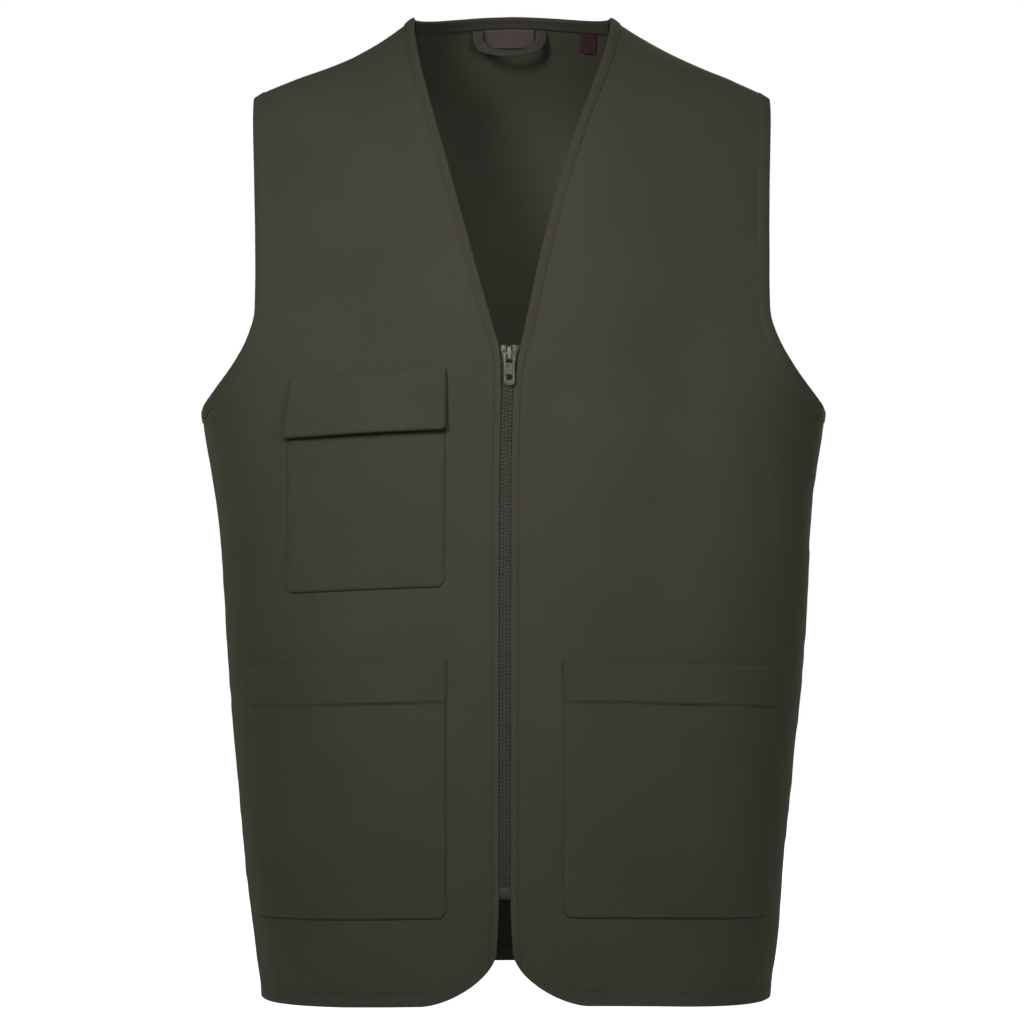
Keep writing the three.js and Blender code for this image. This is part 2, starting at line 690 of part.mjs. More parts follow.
function paint(color, roughness, metalness) {
  return new THREE.MeshStandardMaterial({ color, roughness, metalness });
}

const cotton = paint('#3d3c32', 0.9, 0);
const bindingCotton = paint('#3a392f', 0.9, 0);
const pocketCotton = paint('#3e3d33', 0.9, 0);
const tapeCloth = paint('#36352c', 0.95, 0);
const agedMetal = paint('#64645a', 0.45, 0.85);
const toothMetal = paint('#55554c', 0.5, 0.8);
const labelCloth = paint('#4e4242', 0.85, 0);
const tabCloth = paint('#3a2428', 0.85, 0);
const fixed = (value) => () => value;

// Panels
const back = backLattice();
const fronts = SIDES.map((side) => frontLattice(side));
SIDES.forEach((side, k) => {
  const grid = fronts[k];
  const whole = [[0, grid.lastColumn], [0, grid.lastRow]];
  addPiece(`front_panel_${side.name}`, patch(grid, ...whole, fixed(-CLOTH), fixed(0)), cotton);
});
const backRange = [[0, back.lastColumn], [0, back.lastRow]];
addPiece('back_panel', patch(back, ...backRange, fixed(-CLOTH), fixed(0)), cotton);

// Stitched-down bands along the V neck
SIDES.forEach((side, k) => {
  const grid = fronts[k];
  const rows = [rowAt(grid.rows, ZIP_TOP), grid.lastRow];
  const outer = fixed(SEAM_GAP + NECK_BAND_THICK);
  const geometry = patch(grid, [COLUMN.edge, COLUMN.band], rows, fixed(SEAM_GAP), outer);
  addPiece(`neck_band_${side.name}`, geometry, bindingCotton);
});

// Armhole bindings, a ring of sections that stand on the cut edges of front and back
function armholeBinding(side, front) {
  const frontStart = rowAt(front.rows, UNDERARM_CUT);
  const backStart = rowAt(back.rows, UNDERARM_CUT);
  const backColumn = side.sign < 0 ? 0 : back.lastColumn;
  const edge = [];
  const mean = (a, b) => a.clone().add(b).multiplyScalar(0.5);
  const pair = (j, m) => {
    const point = mean(front.points[j][front.lastColumn], back.points[m][backColumn]);
    const normal = mean(front.normals[j][front.lastColumn], back.normals[m][backColumn]);
    return { point, normal: normal.normalize() };
  };
  edge.push(pair(frontStart, backStart));
  for (let j = frontStart + 1; j < front.lastRow; j += 1) {
    edge.push({ point: front.points[j][front.lastColumn], normal: front.normals[j][front.lastColumn] });
  }
  edge.push(pair(front.lastRow, back.lastRow));
  for (let j = back.lastRow - 1; j > backStart; j -= 1) {
    edge.push({ point: back.points[j][backColumn], normal: back.normals[j][backColumn] });
  }
  const low = -CLOTH / 2 - BINDING_THICK / 2;
  const high = low + BINDING_THICK;
  const sections = edge.map((here, k) => {
    const before = edge.at(k - 1).point;
    const after = edge[(k + 1) % edge.length].point;
    const along = after.clone().sub(before);
    const away = along.cross(here.normal).normalize().multiplyScalar(side.sign);
    const corner = (reach, lift) => {
      const point = here.point.clone().addScaledVector(away, reach);
      return point.addScaledVector(here.normal, lift);
    };
    const far = BINDING_GAP + BINDING_WIDTH;
    return [corner(BINDING_GAP, low), corner(BINDING_GAP, high), corner(far, high), corner(far, low)];
  });
  return bandThrough(sections, true);
}
SIDES.forEach((side, k) => {
  addPiece(`armhole_binding_${side.name}`, armholeBinding(side, fronts[k]), bindingCotton);
});

// Tape inside the back neck
const NECK_START = SHOULDER_CELLS;
const NECK_STOP = SHOULDER_CELLS + 2 * NECK_CELLS;
const tapeOuter = -CLOTH - SEAM_GAP;
const tapeInner = tapeOuter - NECK_TAPE_THICK;
const neckTapeRows = [back.lastRow - 1, back.lastRow];
const neckTape = patch(back, [NECK_START, NECK_STOP], neckTapeRows, fixed(tapeInner), fixed(tapeOuter));
addPiece('back_neck_tape', neckTape, tapeCloth);

// Pockets, which touch the panel along their seams and stand off between them
function swell(range, rows, height) {
  return (i, j) => {
    const u = (i - range[0]) / (range[1] - range[0]);
    const v = (j - rows[0]) / (rows[1] - rows[0]);
    return SEAM_GAP + height * Math.sin(Math.PI * u) ** 0.5 * Math.sin((Math.PI / 2) * v) ** 0.5;
  };
}
function pocket(grid, columns, rows, height) {
  const inner = swell(columns, rows, height);
  return patch(grid, columns, rows, inner, (i, j) => inner(i, j) + CLOTH);
}
SIDES.forEach((side, k) => {
  const grid = fronts[k];
  const rows = [rowAt(grid.rows, POCKET_RISE), rowAt(grid.rows, POCKET_TOP)];
  const columns = [COLUMN.pocketInner, COLUMN.pocketOuter];
  addPiece(`lower_pocket_${side.name}`, pocket(grid, columns, rows, POCKET_SWELL), pocketCotton);
});
const chestGrid = fronts[0];
const chestColumns = [COLUMN.pocketInner, COLUMN.chestOuter];
const chestRows = [CHEST_BOTTOM, CHEST_MOUTH].map((level) => rowAt(chestGrid.rows, level));
addPiece('chest_pocket', pocket(chestGrid, chestColumns, chestRows, CHEST_POCKET_SWELL), pocketCotton);

// The flap hangs from its seam and stands off towards its lower edge
const flapRows = [FLAP_BOTTOM, FLAP_TOP].map((level) => rowAt(chestGrid.rows, level));
const overhang = FLAP_OVERHANG / (CHEST_POCKET_WIDTH / (COLUMN.chestOuter - COLUMN.pocketInner));
const flapColumns = [chestColumns[0] - overhang, chestColumns[1] + overhang];
function flapInner(i, j) {
  const over = CHEST_POCKET_SWELL + 2 * SEAM_GAP + CLOTH;
  const down = (flapRows[1] - j) / (flapRows[1] - flapRows[0]);
  const lift = over + FLAP_LIFT * down ** 2;
  return j > chestRows[1] ? lerp(2 * SEAM_GAP, over, Math.sqrt(down * 2) * FLAP_ROLL) : lift;
}
const flap = patch(chestGrid, flapColumns, flapRows, flapInner, (i, j) => flapInner(i, j) + CLOTH);
addPiece('chest_pocket_flap', flap, pocketCotton);

// Zip tapes and teeth follow the front at the zip line
const zipRows = fronts[0].rows.filter((row) => {
  return row.climb === 0 && row.level >= ZIP_BOTTOM && row.level <= ZIP_TOP;
});
function zipStrip(side, from, width, low, high, rows) {
  const columns = [from, from + width];
  const place = (row, reach) => {
    const x = zipAcross(row.level) + side.sign * reach;
    return new THREE.Vector3(x, frontDepth(x, row.level), row.level);
  };
  const none = () => null;
  const strip = lattice(rows, columns, place, side.sign, none, none);
  return patch(strip, [0, 1], [0, rows.length - 1], fixed(low), fixed(high));
}
const tapeHigh = -CLOTH - SEAM_GAP;
const tapeMiddle = tapeHigh - TAPE_THICK / 2;
const chainRows = zipRows.filter((row) => row.level > ZIP_BOTTOM && row.level < ZIP_TOP);
chainRows.unshift({ level: ZIP_BOTTOM + BOX_HEIGHT + SEAM_GAP, climb: 0 });
chainRows.push({ level: ZIP_TOP - POST_BELOW_TOP - POST_HEIGHT - 2 * SEAM_GAP, climb: 0 });
chainRows.sort((a, b) => a.level - b.level);
for (const side of SIDES) {
  const tape = zipStrip(side, TAPE_INNER, TAPE_WIDTH, tapeHigh - TAPE_THICK, tapeHigh, zipRows);
  addPiece(`zip_tape_${side.name}`, tape, tapeCloth);
  const [low, high] = [tapeMiddle - TEETH_THICK / 2, tapeMiddle + TEETH_THICK / 2];
  const teeth = zipStrip(side, SEAM_GAP / 2, TEETH_WIDTH, low, high, chainRows);
  addPiece(`zip_teeth_${side.name}`, teeth, toothMetal);
}

// Rectangle with cut corners
function plateShape(width, low, high, cut) {
  const half = width / 2;
  const shape = new THREE.Shape();
  shape.moveTo(-half + cut, low);
  shape.lineTo(half - cut, low);
  shape.lineTo(half, low + cut);
  shape.lineTo(half, high - cut);
  shape.lineTo(half - cut, high);
  shape.lineTo(-half + cut, high);
  shape.lineTo(-half, high - cut);
  shape.lineTo(-half, low + cut);
  shape.closePath();
  return shape;
}

// Box that holds the ends of both tapes
const boxBase = new THREE.Group();
const boxAcross = zipAcross(ZIP_BOTTOM);
boxBase.position.set(boxAcross, frontDepth(boxAcross, ZIP_BOTTOM), ZIP_BOTTOM);
vest.add(boxBase);
const boxShape = plateShape(BOX_WIDTH, 0, BOX_HEIGHT, BOX_CORNER);
const boxCut = plateShape(BOX_WIDTH * 2, -BOX_CORNER, BOX_HEIGHT + BOX_CORNER, SEAM_GAP);
const boxBack = -tapeMiddle + BOX_THICK / 2;

const wasm = await Module();
wasm.setup();

function solidOf(geometry) {
  const bare = geometry.clone();
  bare.deleteAttribute('normal');
  bare.deleteAttribute('uv');
  const merged = mergeVertices(bare, 1e-4);
  const vertProperties = new Float32Array(merged.attributes.position.array);
  const triVerts = new Uint32Array(merged.index.array);
  return new wasm.Manifold(new wasm.Mesh({ numProp: 3, vertProperties, triVerts }));
}

function geometryFrom(solid) {
  const mesh = solid.getMesh();
  const geometry = new THREE.BufferGeometry();
  const count = mesh.vertProperties.length / mesh.numProp;
  const positions = new Float32Array(count * 3);
  for (let k = 0; k < count; k += 1) {
    positions.set(mesh.vertProperties.subarray(k * mesh.numProp, k * mesh.numProp + 3), k * 3);
  }
  geometry.setAttribute('position', new THREE.BufferAttribute(positions, 3));
  geometry.setIndex(new THREE.BufferAttribute(new Uint32Array(mesh.triVerts), 1));
  return geometry;
}

// Outline in the XZ plane, extruded from one depth forward, towards -Y
function extruded(shape, thickness, depth, segments = CURVE_SEGMENTS) {
  const options = { depth: thickness, bevelEnabled: false, curveSegments: segments };
  const geometry = new THREE.ExtrudeGeometry(shape, options);
  geometry.rotateX(Math.PI / 2);
  geometry.translate(0, depth, 0);
  return solidOf(geometry);
}

// The tapes end in the box, which is cut back round them
const boxBody = extruded(boxShape, BOX_THICK, boxBack);
const tapeSlotDepth = -tapeHigh + TAPE_THICK + SEAM_GAP;
const tapeSlot = extruded(boxCut, TAPE_THICK + 2 * SEAM_GAP, tapeSlotDepth);
const chainHalf = TAPE_INNER - SEAM_GAP;
const chainRoom = new THREE.BoxGeometry(2 * chainHalf, 2 * BOX_WIDTH, 4 * BOX_HEIGHT);
const slots = tapeSlot.subtract(solidOf(chainRoom));
addPiece('zip_bottom_box', geometryFrom(boxBody.subtract(slots)), agedMetal, boxBase);

// Slider, with its plates in front of and behind the chain, joined by the post between the tapes
const sliderMiddle = ZIP_TOP - SLIDER_LENGTH / 2;
const sliderAcross = zipAcross(sliderMiddle);
const slope = (frontDepth(sliderAcross, sliderMiddle + 5) - frontDepth(sliderAcross, sliderMiddle - 5)) / 10;
const sliderBase = new THREE.Group();
sliderBase.position.set(sliderAcross, frontDepth(sliderAcross, sliderMiddle), sliderMiddle);
vest.add(sliderBase);
const plateFront = -FRONT_CLEAR - PLATE_THICK;
const backFace = -tapeMiddle + TEETH_THICK / 2 + BACK_CLEAR;

function sliderOutline() {
  const top = SLIDER_LENGTH / 2;
  const [foot, crown] = [SLIDER_FOOT / 2, SLIDER_WIDTH / 2];
  const shape = new THREE.Shape();
  shape.moveTo(-foot + SLIDER_CORNER, -top);
  shape.lineTo(foot - SLIDER_CORNER, -top);
  shape.lineTo(foot, -top + SLIDER_CORNER);
  shape.quadraticCurveTo(foot + SLIDER_WAIST, 0, crown, top - SLIDER_SHOULDER);
  shape.quadraticCurveTo(crown, top, crown / 2, top);
  shape.quadraticCurveTo(0, top - SLIDER_CROWN_DIP, -crown / 2, top);
  shape.quadraticCurveTo(-crown, top, -crown, top - SLIDER_SHOULDER);
  shape.quadraticCurveTo(-foot - SLIDER_WAIST, 0, -foot, -top + SLIDER_CORNER);
  shape.closePath();
  return shape;
}

const frontPlate = extruded(sliderOutline(), PLATE_THICK, -FRONT_CLEAR);
const backPlate = extruded(sliderOutline(), PLATE_THICK, backFace + PLATE_THICK);
const postTop = SLIDER_LENGTH / 2 - POST_BELOW_TOP;
const postShape = plateShape(POST_WIDTH, postTop - POST_HEIGHT, postTop, POST_CORNER);
const post = extruded(postShape, backFace + FRONT_CLEAR + PLATE_THICK, backFace + PLATE_THICK / 2);
const lobes = [-1, 1].map((sign) => {
  const lobe = new THREE.Shape();
  const middle = SLIDER_LENGTH / 2 - LOBE_RADIUS - LOBE_BELOW_TOP;
  lobe.absarc(sign * LOBE_SPREAD, middle, LOBE_RADIUS, 0, 2 * Math.PI);
  return extruded(lobe, LOBE_HEIGHT + LOBE_SUNK, plateFront + LOBE_SUNK, LOBE_SEGMENTS);
});

// The bail is an arch along Z, drawn in the ZY plane and extruded across
function bailSolid() {
  const arch = new THREE.Shape();
  const half = BAIL_LENGTH / 2;
  const top = BAIL_REACH + BAIL_THICK;
  const inner = half - BAIL_THICK;
  arch.moveTo(-half, -BAIL_SUNK);
  arch.lineTo(-half, top - BAIL_CORNER);
  arch.lineTo(-half + BAIL_CORNER, top);
  arch.lineTo(half - BAIL_CORNER, top);
  arch.lineTo(half, top - BAIL_CORNER);
  arch.lineTo(half, -BAIL_SUNK);
  arch.lineTo(inner, -BAIL_SUNK);
  arch.lineTo(inner, BAIL_REACH - BAIL_INNER_CORNER);
  arch.lineTo(inner - BAIL_INNER_CORNER, BAIL_REACH);
  arch.lineTo(-inner + BAIL_INNER_CORNER, BAIL_REACH);
  arch.lineTo(-inner, BAIL_REACH - BAIL_INNER_CORNER);
  arch.lineTo(-inner, -BAIL_SUNK);
  arch.closePath();
  const geometry = new THREE.ExtrudeGeometry(arch, { depth: BAIL_WIDTH, bevelEnabled: false });
  geometry.translate(0, 0, -BAIL_WIDTH / 2);
  const basis = new THREE.Matrix4();
  const zAxis = new THREE.Vector3(0, 0, 1);
  const forward = new THREE.Vector3(0, -1, 0);
  basis.makeBasis(zAxis, forward, new THREE.Vector3(1, 0, 0));
  geometry.applyMatrix4(basis);
  geometry.translate(0, plateFront, 0);
  return solidOf(geometry);
}

let sliderBody = frontPlate.add(backPlate).add(post).add(bailSolid());
for (const lobe of lobes) {
  sliderBody = sliderBody.add(lobe);
}
const slider = addPiece('zip_slider', geometryFrom(sliderBody), agedMetal, sliderBase);
slider.rotation.x = -Math.atan(slope);

// Pull, hanging plumb from its bar inside the bail
function pullShape() {
  const half = PULL_WIDTH / 2;
  const top = PULL_BAR / 2;
  const low = -PULL_LENGTH;
  const shape = new THREE.Shape();
  shape.moveTo(-half, low + PULL_FOOT_CORNER);
  shape.quadraticCurveTo(-half, low + PULL_FOOT_RISE, -PULL_FOOT_FLAT, low + PULL_FOOT_RISE);
  shape.quadraticCurveTo(0, low - PULL_FOOT_RISE / 2, PULL_FOOT_FLAT, low + PULL_FOOT_RISE);
  shape.quadraticCurveTo(half, low + PULL_FOOT_RISE, half, low + PULL_FOOT_CORNER);
  shape.lineTo(half, top - PULL_TOP_CORNER);
  shape.lineTo(half - PULL_TOP_CORNER, top);
  shape.lineTo(-half + PULL_TOP_CORNER, top);
  shape.lineTo(-half, top - PULL_TOP_CORNER);
  shape.closePath();
  const hole = (low, high, width) => {
    const path = new THREE.Path();
    path.moveTo(-width / 2, low);
    path.lineTo(-width / 2, high);
    path.lineTo(width / 2, high);
    path.lineTo(width / 2, low);
    path.closePath();
    shape.holes.push(path);
  };
  hole(-SLOT_REACH, -top, SLOT_WIDTH);
  hole(-WINDOW_REACH - WINDOW_SIZE / 2, -WINDOW_REACH + WINDOW_SIZE / 2, WINDOW_SIZE);
  return shape;
}
const pullBody = extruded(pullShape(), PULL_THICK, PULL_THICK / 2, PULL_SEGMENTS);
const pull = addPiece('zip_pull', geometryFrom(pullBody), agedMetal, sliderBase);
pull.position.y = plateFront - PULL_STANDOFF;

// Back panel's inner side: place across at a drop below the neckline, in lattice numbers
function neckColumn(x) {
  const row = back.points[back.lastRow - 1];
  let i = 0;
  while (i < back.lastColumn - 1 && row[i + 1].x < x) {
    i += 1;
  }
  return i + (x - row[i].x) / (row[i + 1].x - row[i].x);
}

function rowBelowNeck(x, drop) {
  const i = Math.round(neckColumn(x));
  const top = back.points[back.lastRow][i].z;
  let j = back.lastRow - 1;
  while (j > 1 && top - back.points[j][i].z < drop) {
    j -= 1;
  }
  const [low, high] = [back.points[j][i].z, back.points[j + 1][i].z];
  return j + (top - drop - low) / (high - low);
}

function labelPatch(centre, width, height) {
  const columns = [neckColumn(centre - width / 2), neckColumn(centre + width / 2)];
  const topRow = rowBelowNeck(centre, NECK_TAPE + SEAM_GAP);
  const rows = [rowBelowNeck(centre, NECK_TAPE + SEAM_GAP + height), topRow];
  const outer = -CLOTH - LABEL_GAP;
  return patch(back, columns, rows, fixed(outer - LABEL_THICK), fixed(outer));
}
addPiece('neck_label', labelPatch(LABEL_SHIFT, LABEL_WIDTH, LABEL_HEIGHT), labelCloth);
addPiece('size_tab', labelPatch(TAB_SHIFT, TAB_WIDTH, TAB_HEIGHT), tabCloth);

// Hanger loop, a strap that hangs plumb from under the tape in a shallow U
function loopCentre(turn) {
  const topRow = back.lastRow - 1;
  const legs = [-1, 1].map((sign) => {
    const column = neckColumn(LOOP_SHIFT + (sign * LOOP_SPREAD) / 2);
    return latticePoint(back, column, topRow, tapeInner - SEAM_GAP);
  });
  const centre = legs[0].clone().lerp(legs[1], (1 - Math.cos(turn)) / 2);
  centre.z -= SEAM_GAP + LOOP_DROP * Math.sin(turn) ** LOOP_SQUARENESS;
  centre.y -= LOOP_STANDOFF * Math.sin(turn);
  return centre;
}

function loopSections() {
  const sections = [];
  for (let k = 0; k <= LOOP_STEPS; k += 1) {
    const turn = (Math.PI * k) / LOOP_STEPS;
    const centre = loopCentre(turn);
    const step = Math.PI / LOOP_STEPS / 3;
    const tangent = loopCentre(Math.min(turn + step, Math.PI));
    tangent.sub(loopCentre(Math.max(turn - step, 0)));
    tangent.y = 0;
    tangent.normalize();
    const dip = Math.sin(turn) ** 2;
    const width = lerp(LOOP_STRAP, LOOP_STRAP_BELOW, dip);
    const across = new THREE.Vector3(-tangent.z, 0, tangent.x).multiplyScalar(width / 2);
    const corner = (sign, forward) => {
      const point = centre.clone().addScaledVector(across, sign);
      point.y -= forward;
      return point;
    };
    sections.push([corner(-1, 0), corner(1, 0), corner(1, LOOP_THICK), corner(-1, LOOP_THICK)]);
  }
  return sections;
}
addPiece('hanger_loop', bandThrough(loopSections(), false), tapeCloth);

export default vest;
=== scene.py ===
import math

import bpy
import numpy as np
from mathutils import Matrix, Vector


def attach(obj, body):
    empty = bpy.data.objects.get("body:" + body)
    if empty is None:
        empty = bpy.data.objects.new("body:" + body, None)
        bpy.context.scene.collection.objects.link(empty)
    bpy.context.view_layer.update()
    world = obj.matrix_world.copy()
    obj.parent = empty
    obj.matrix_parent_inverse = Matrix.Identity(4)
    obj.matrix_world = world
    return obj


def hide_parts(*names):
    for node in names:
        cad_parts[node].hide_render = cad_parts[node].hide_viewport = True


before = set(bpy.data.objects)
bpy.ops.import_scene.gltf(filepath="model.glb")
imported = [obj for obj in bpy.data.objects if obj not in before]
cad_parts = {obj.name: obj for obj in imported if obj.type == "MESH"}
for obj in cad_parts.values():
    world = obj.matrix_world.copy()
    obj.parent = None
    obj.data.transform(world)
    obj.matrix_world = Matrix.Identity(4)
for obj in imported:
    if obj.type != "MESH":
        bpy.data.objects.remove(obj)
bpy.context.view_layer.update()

# Shapes are worked out in millimetres, heights from the hem and depths from the side seams,
# and go into the row frame in metres when a piece is made.
BODY = 702.0
HALF_CHEST = 227.0
CHEST_DEPTH = 120.0
BACK_DEPTH = 118.0
NECK_HALF = 72.5
NECK_DROP = 245.0
NAPE_RISE = 11.0
NAPE_DEPTH = 72.0
NAPE = BODY + NAPE_RISE
NAPE_FACE = 69.65
SHOULDER_HALF = 188.0
SHOULDER_DROP = 58.0
SEAM_DEPTH = 6.0
SEAM_HALF_GAP = 0.15
CLOTH = 1.2
UNDERARM = 416.0
UNDERARM_CUT = 409.0
ARMHOLE_BEND = 78.0
ARMHOLE_STRAIGHT = 176.91
SHOULDER_END = 181.91
ZIP_TOP = 457.0
ZIP_BOTTOM = 74.0
ZIP_SHIFT = -5.0
SIDE_DROP = 9.0
BACK_DROP = 4.0
VENT_HEIGHT = 24.0
VENT_SPREAD = 2.5
HEM_CORNER = (50.0, 36.0)
POWER = 2.3
FRONT_ROUND = (240.0, 1.6)
BACK_ROUND = (170.0, 1.8)
POCKET_LOW = 61.0
POCKET_TOP = 238.0
POCKET_BAND = 210.0
CHEST_LOW = 288.0
CHEST_MOUTH = 429.0
FLAP_LOW = 398.0
FLAP_TOP = 441.0

# Sections from the hem up: shares of the underarm height, of HALF_CHEST for each side, and of
# CHEST_DEPTH and BACK_DEPTH
SECTIONS = {
    "height": [0, 0.1, 0.25, 0.4, 0.55, 0.7, 0.85, 1.0, 1.15, 1.4, 1.8],
    "right": [0.805, 0.828, 0.856, 0.881, 0.907, 0.925, 0.9515, 0.997, 1.02, 1.025, 1.025],
    "left": [0.83, 0.854, 0.877, 0.902, 0.9295, 0.95, 0.966, 1.006, 1.025, 1.03, 1.03],
    "front": [1.12, 1.15, 1.17, 1.15, 1.12, 1.09, 1.06, 1.03, 1.0, 0.98, 0.97],
    "back": [1.2, 1.19, 1.16, 1.1, 1.03, 1.0, 1.01, 1.03, 1.03, 1.0, 0.97],
}

# Soft folds: across as a share of HALF_CHEST, height, length and width as shares of BODY, turn
# in degrees from level, and rise in millimetres
FRONT_FOLDS = [
    (-0.7, 0.7, -35, 0.14, 0.05, -5.0),
    (0.7, 0.68, 28, 0.14, 0.055, -6.0),
    (-0.44, 0.78, 80, 0.12, 0.1, 4.0),
    (0.46, 0.79, 100, 0.12, 0.1, 4.0),
    (0.5, 0.5, 86, 0.22, 0.05, -4.5),
    (0.22, 0.5, 88, 0.2, 0.05, 3.0),
    (-0.5, 0.4, 84, 0.16, 0.07, 3.5),
    (-0.5, 0.03, 70, 0.1, 0.06, 4.0),
    (0.46, 0.03, 55, 0.1, 0.045, -4.5),
    (0.74, 0.05, 80, 0.1, 0.05, 3.5),
    (0.5, 0.22, 60, 0.14, 0.07, -3.0),
    (-0.45, 0.2, 95, 0.16, 0.09, 3.0),
]
BACK_FOLDS = [
    (-0.52, 0.62, 96, 0.2, 0.06, 5.0),
    (0.54, 0.6, 84, 0.2, 0.06, 5.0),
    (0.0, 0.72, 90, 0.16, 0.09, -4.0),
    (-0.28, 0.3, 92, 0.24, 0.06, -4.0),
    (0.32, 0.24, 88, 0.2, 0.06, -4.0),
    (-0.8, 0.66, 30, 0.1, 0.05, -5.0),
    (0.8, 0.66, -30, 0.1, 0.05, -5.0),
]
# Small creases: across and height in millimetres, turn, length, width and rise
CREASES = [
    (-14, 452, 15, 11, 2.6, 0.7),
    (-17, 441, 24, 13, 3.0, -0.7),
    (16, 442, -22, 13, 3.0, 0.8),
    (21, 424, -35, 14, 3.4, -0.7),
    (15, 358, -30, 13, 3.2, 0.6),
    (-20, 150, 62, 40, 6.0, 0.8),
    (-25, 120, 66, 44, 5.0, -0.7),
    (22, 200, -60, 36, 6.0, 0.6),
    (-130, 585, -52, 70, 9.0, 0.9),
    (125, 600, 60, 60, 10.0, 0.8),
    (-168, 470, -40, 40, 7.0, -1.1),
    (172, 470, 42, 42, 7.0, -1.2),
    (150, 452, 40, 60, 8.0, 0.9),
    (-150, 455, -38, 55, 8.0, 0.8),
    (150, 130, 70, 60, 8.0, 0.8),
    (-170, 330, 80, 70, 7.0, 0.8),
    (178, 350, -82, 80, 8.0, -0.9),
    (-110, 35, 75, 40, 8.0, 0.8),
    (88, 30, -60, 40, 7.0, -0.8),
]


def lerp(a, b, t):
    return a + (b - a) * t


def section(name, z):
    heights = np.array(SECTIONS["height"])
    values = np.array(SECTIONS[name])
    share = np.clip(np.asarray(z, float) / UNDERARM, heights[0], heights[-1])
    k = np.clip(np.searchsorted(heights, share) - 1, 0, len(heights) - 2)
    slopes = np.empty(len(values))
    slopes[1:-1] = (values[2:] - values[:-2]) / (heights[2:] - heights[:-2])
    slopes[0] = (values[1] - values[0]) / (heights[1] - heights[0])
    slopes[-1] = (values[-1] - values[-2]) / (heights[-1] - heights[-2])
    span = heights[k + 1] - heights[k]
    t = (share - heights[k]) / span
    start = (1 + 2 * t) * (1 - t) ** 2 * values[k]
    end = t * t * (3 - 2 * t) * values[k + 1]
    bend = t * (1 - t) ** 2 * slopes[k] - t * t * (1 - t) * slopes[k + 1]
    return start + end + span * bend


def half_width(sign, z):
    return HALF_CHEST * np.where(np.asarray(sign) < 0, section("right", z), section("left", z))


def side_of(x):
    return np.where(np.asarray(x) < 0, -1, 1)


def angle_at(x, z):
    share = np.minimum(np.abs(x) / half_width(side_of(x), z), 1)
    return np.sign(x) * np.arcsin(share ** (POWER / 2))


def across_at(angle, z):
    width = half_width(side_of(angle), z)
    return np.sign(angle) * width * np.abs(np.sin(angle)) ** (2 / POWER)


def shoulder_height(x):
    sag = np.where(np.asarray(x) < 0, 0.19, 0.15)
    f = (np.abs(x) - NECK_HALF) / (SHOULDER_HALF - NECK_HALF)
    near = (1 + sag * np.pi) * f * np.exp(3 * np.minimum(f, 0))
    out = np.minimum(f, 1)
    far = f + sag * np.sin(np.pi * out) * (1 - out)
    return BODY - SHOULDER_DROP * np.where(f > 0, far, near)


def round_over(drop, reach, power):
    left = 1 - np.clip(drop / reach, 0, 1)
    return (1 - left**power) ** (1 / power)


def fold_rise(folds, x, z):
    rise = 0.0
    for across, up, turn, length, width, height in folds:
        turn = math.radians(turn)
        dx = x - across * HALF_CHEST
        dz = z - up * BODY
        along = (dx * math.cos(turn) + dz * math.sin(turn)) / (length * BODY)
        beside = (dz * math.cos(turn) - dx * math.sin(turn)) / (width * BODY)
        rise = rise + height * np.exp(-along * along - beside * beside)
    return rise


def crease_rise(creases, x, z):
    rise = 0.0
    for across, up, turn, length, width, height in creases:
        turn = math.radians(turn)
        dx, dz = x - across, z - up
        along = (dx * math.cos(turn) + dz * math.sin(turn)) / length
        beside = (dz * math.cos(turn) - dx * math.sin(turn)) / width
        rise = rise + height * np.exp(-along * along - beside * beside)
    return rise


def section_depth(x, z, depth, folds):
    share = np.minimum(np.abs(x) / half_width(side_of(x), z), 1)
    around = (1 - share**POWER) ** (1 / POWER)
    return depth * around + fold_rise(folds, x, z) * np.sqrt(around)


def front_depth(x, z):
    full = -section_depth(x, z, CHEST_DEPTH * section("front", z), FRONT_FOLDS)
    share = round_over(shoulder_height(x) - z, *FRONT_ROUND)
    return lerp(SEAM_DEPTH, full, share) - SEAM_HALF_GAP


def back_ridge(x):
    share = NAPE_DEPTH / (BACK_DEPTH * section("back", NAPE))
    reach, power = BACK_ROUND
    left = (1 - share**power) ** (1 / power)
    lift = NAPE + reach * (1 - left) - shoulder_height(0.0)
    across = np.minimum(np.abs(x) / NECK_HALF, 1)
    return shoulder_height(x) + lift * (1 - across * across) ** 1.25


def back_depth(x, z):
    full = section_depth(x, z, BACK_DEPTH * section("back", z), BACK_FOLDS)
    share = round_over(back_ridge(x) - z, *BACK_ROUND)
    return lerp(SEAM_DEPTH, full, share) + SEAM_HALF_GAP


def zip_across(z):
    return ZIP_SHIFT * (1 - 0.72 * np.exp(-np.maximum(ZIP_TOP - z, 0) / 48))


def inner_edge(sign, z):
    fade = np.exp(-np.maximum(ZIP_TOP - z, 0) / 12)
    flare = np.clip((ZIP_BOTTOM - z) / ZIP_BOTTOM, 0, None)
    edge = zip_across(z) + sign * (4.4 + 3.9 * fade + 4 * flare**1.5)
    h = np.clip((z - ZIP_TOP) / NECK_DROP, 0, 1)
    bow = np.where(np.asarray(sign) > 0, -5, 2)
    return lerp(edge, sign * NECK_HALF, h) + sign * bow * 4 * h * (1 - h)


def outer_angle(sign, z):
    bend = UNDERARM_CUT + ARMHOLE_BEND
    share = np.clip((bend - z) / ARMHOLE_BEND, 0, 1)
    low = lerp(ARMHOLE_STRAIGHT, half_width(sign, UNDERARM_CUT), share**1.75)
    up = np.clip((z - bend) / (BODY - SHOULDER_DROP - bend), 0, 1)
    edge = np.where(z < bend, low, lerp(ARMHOLE_STRAIGHT, SHOULDER_END, up * up))
    return np.where(z <= UNDERARM_CUT, np.pi / 2, np.abs(angle_at(sign * edge, z)))


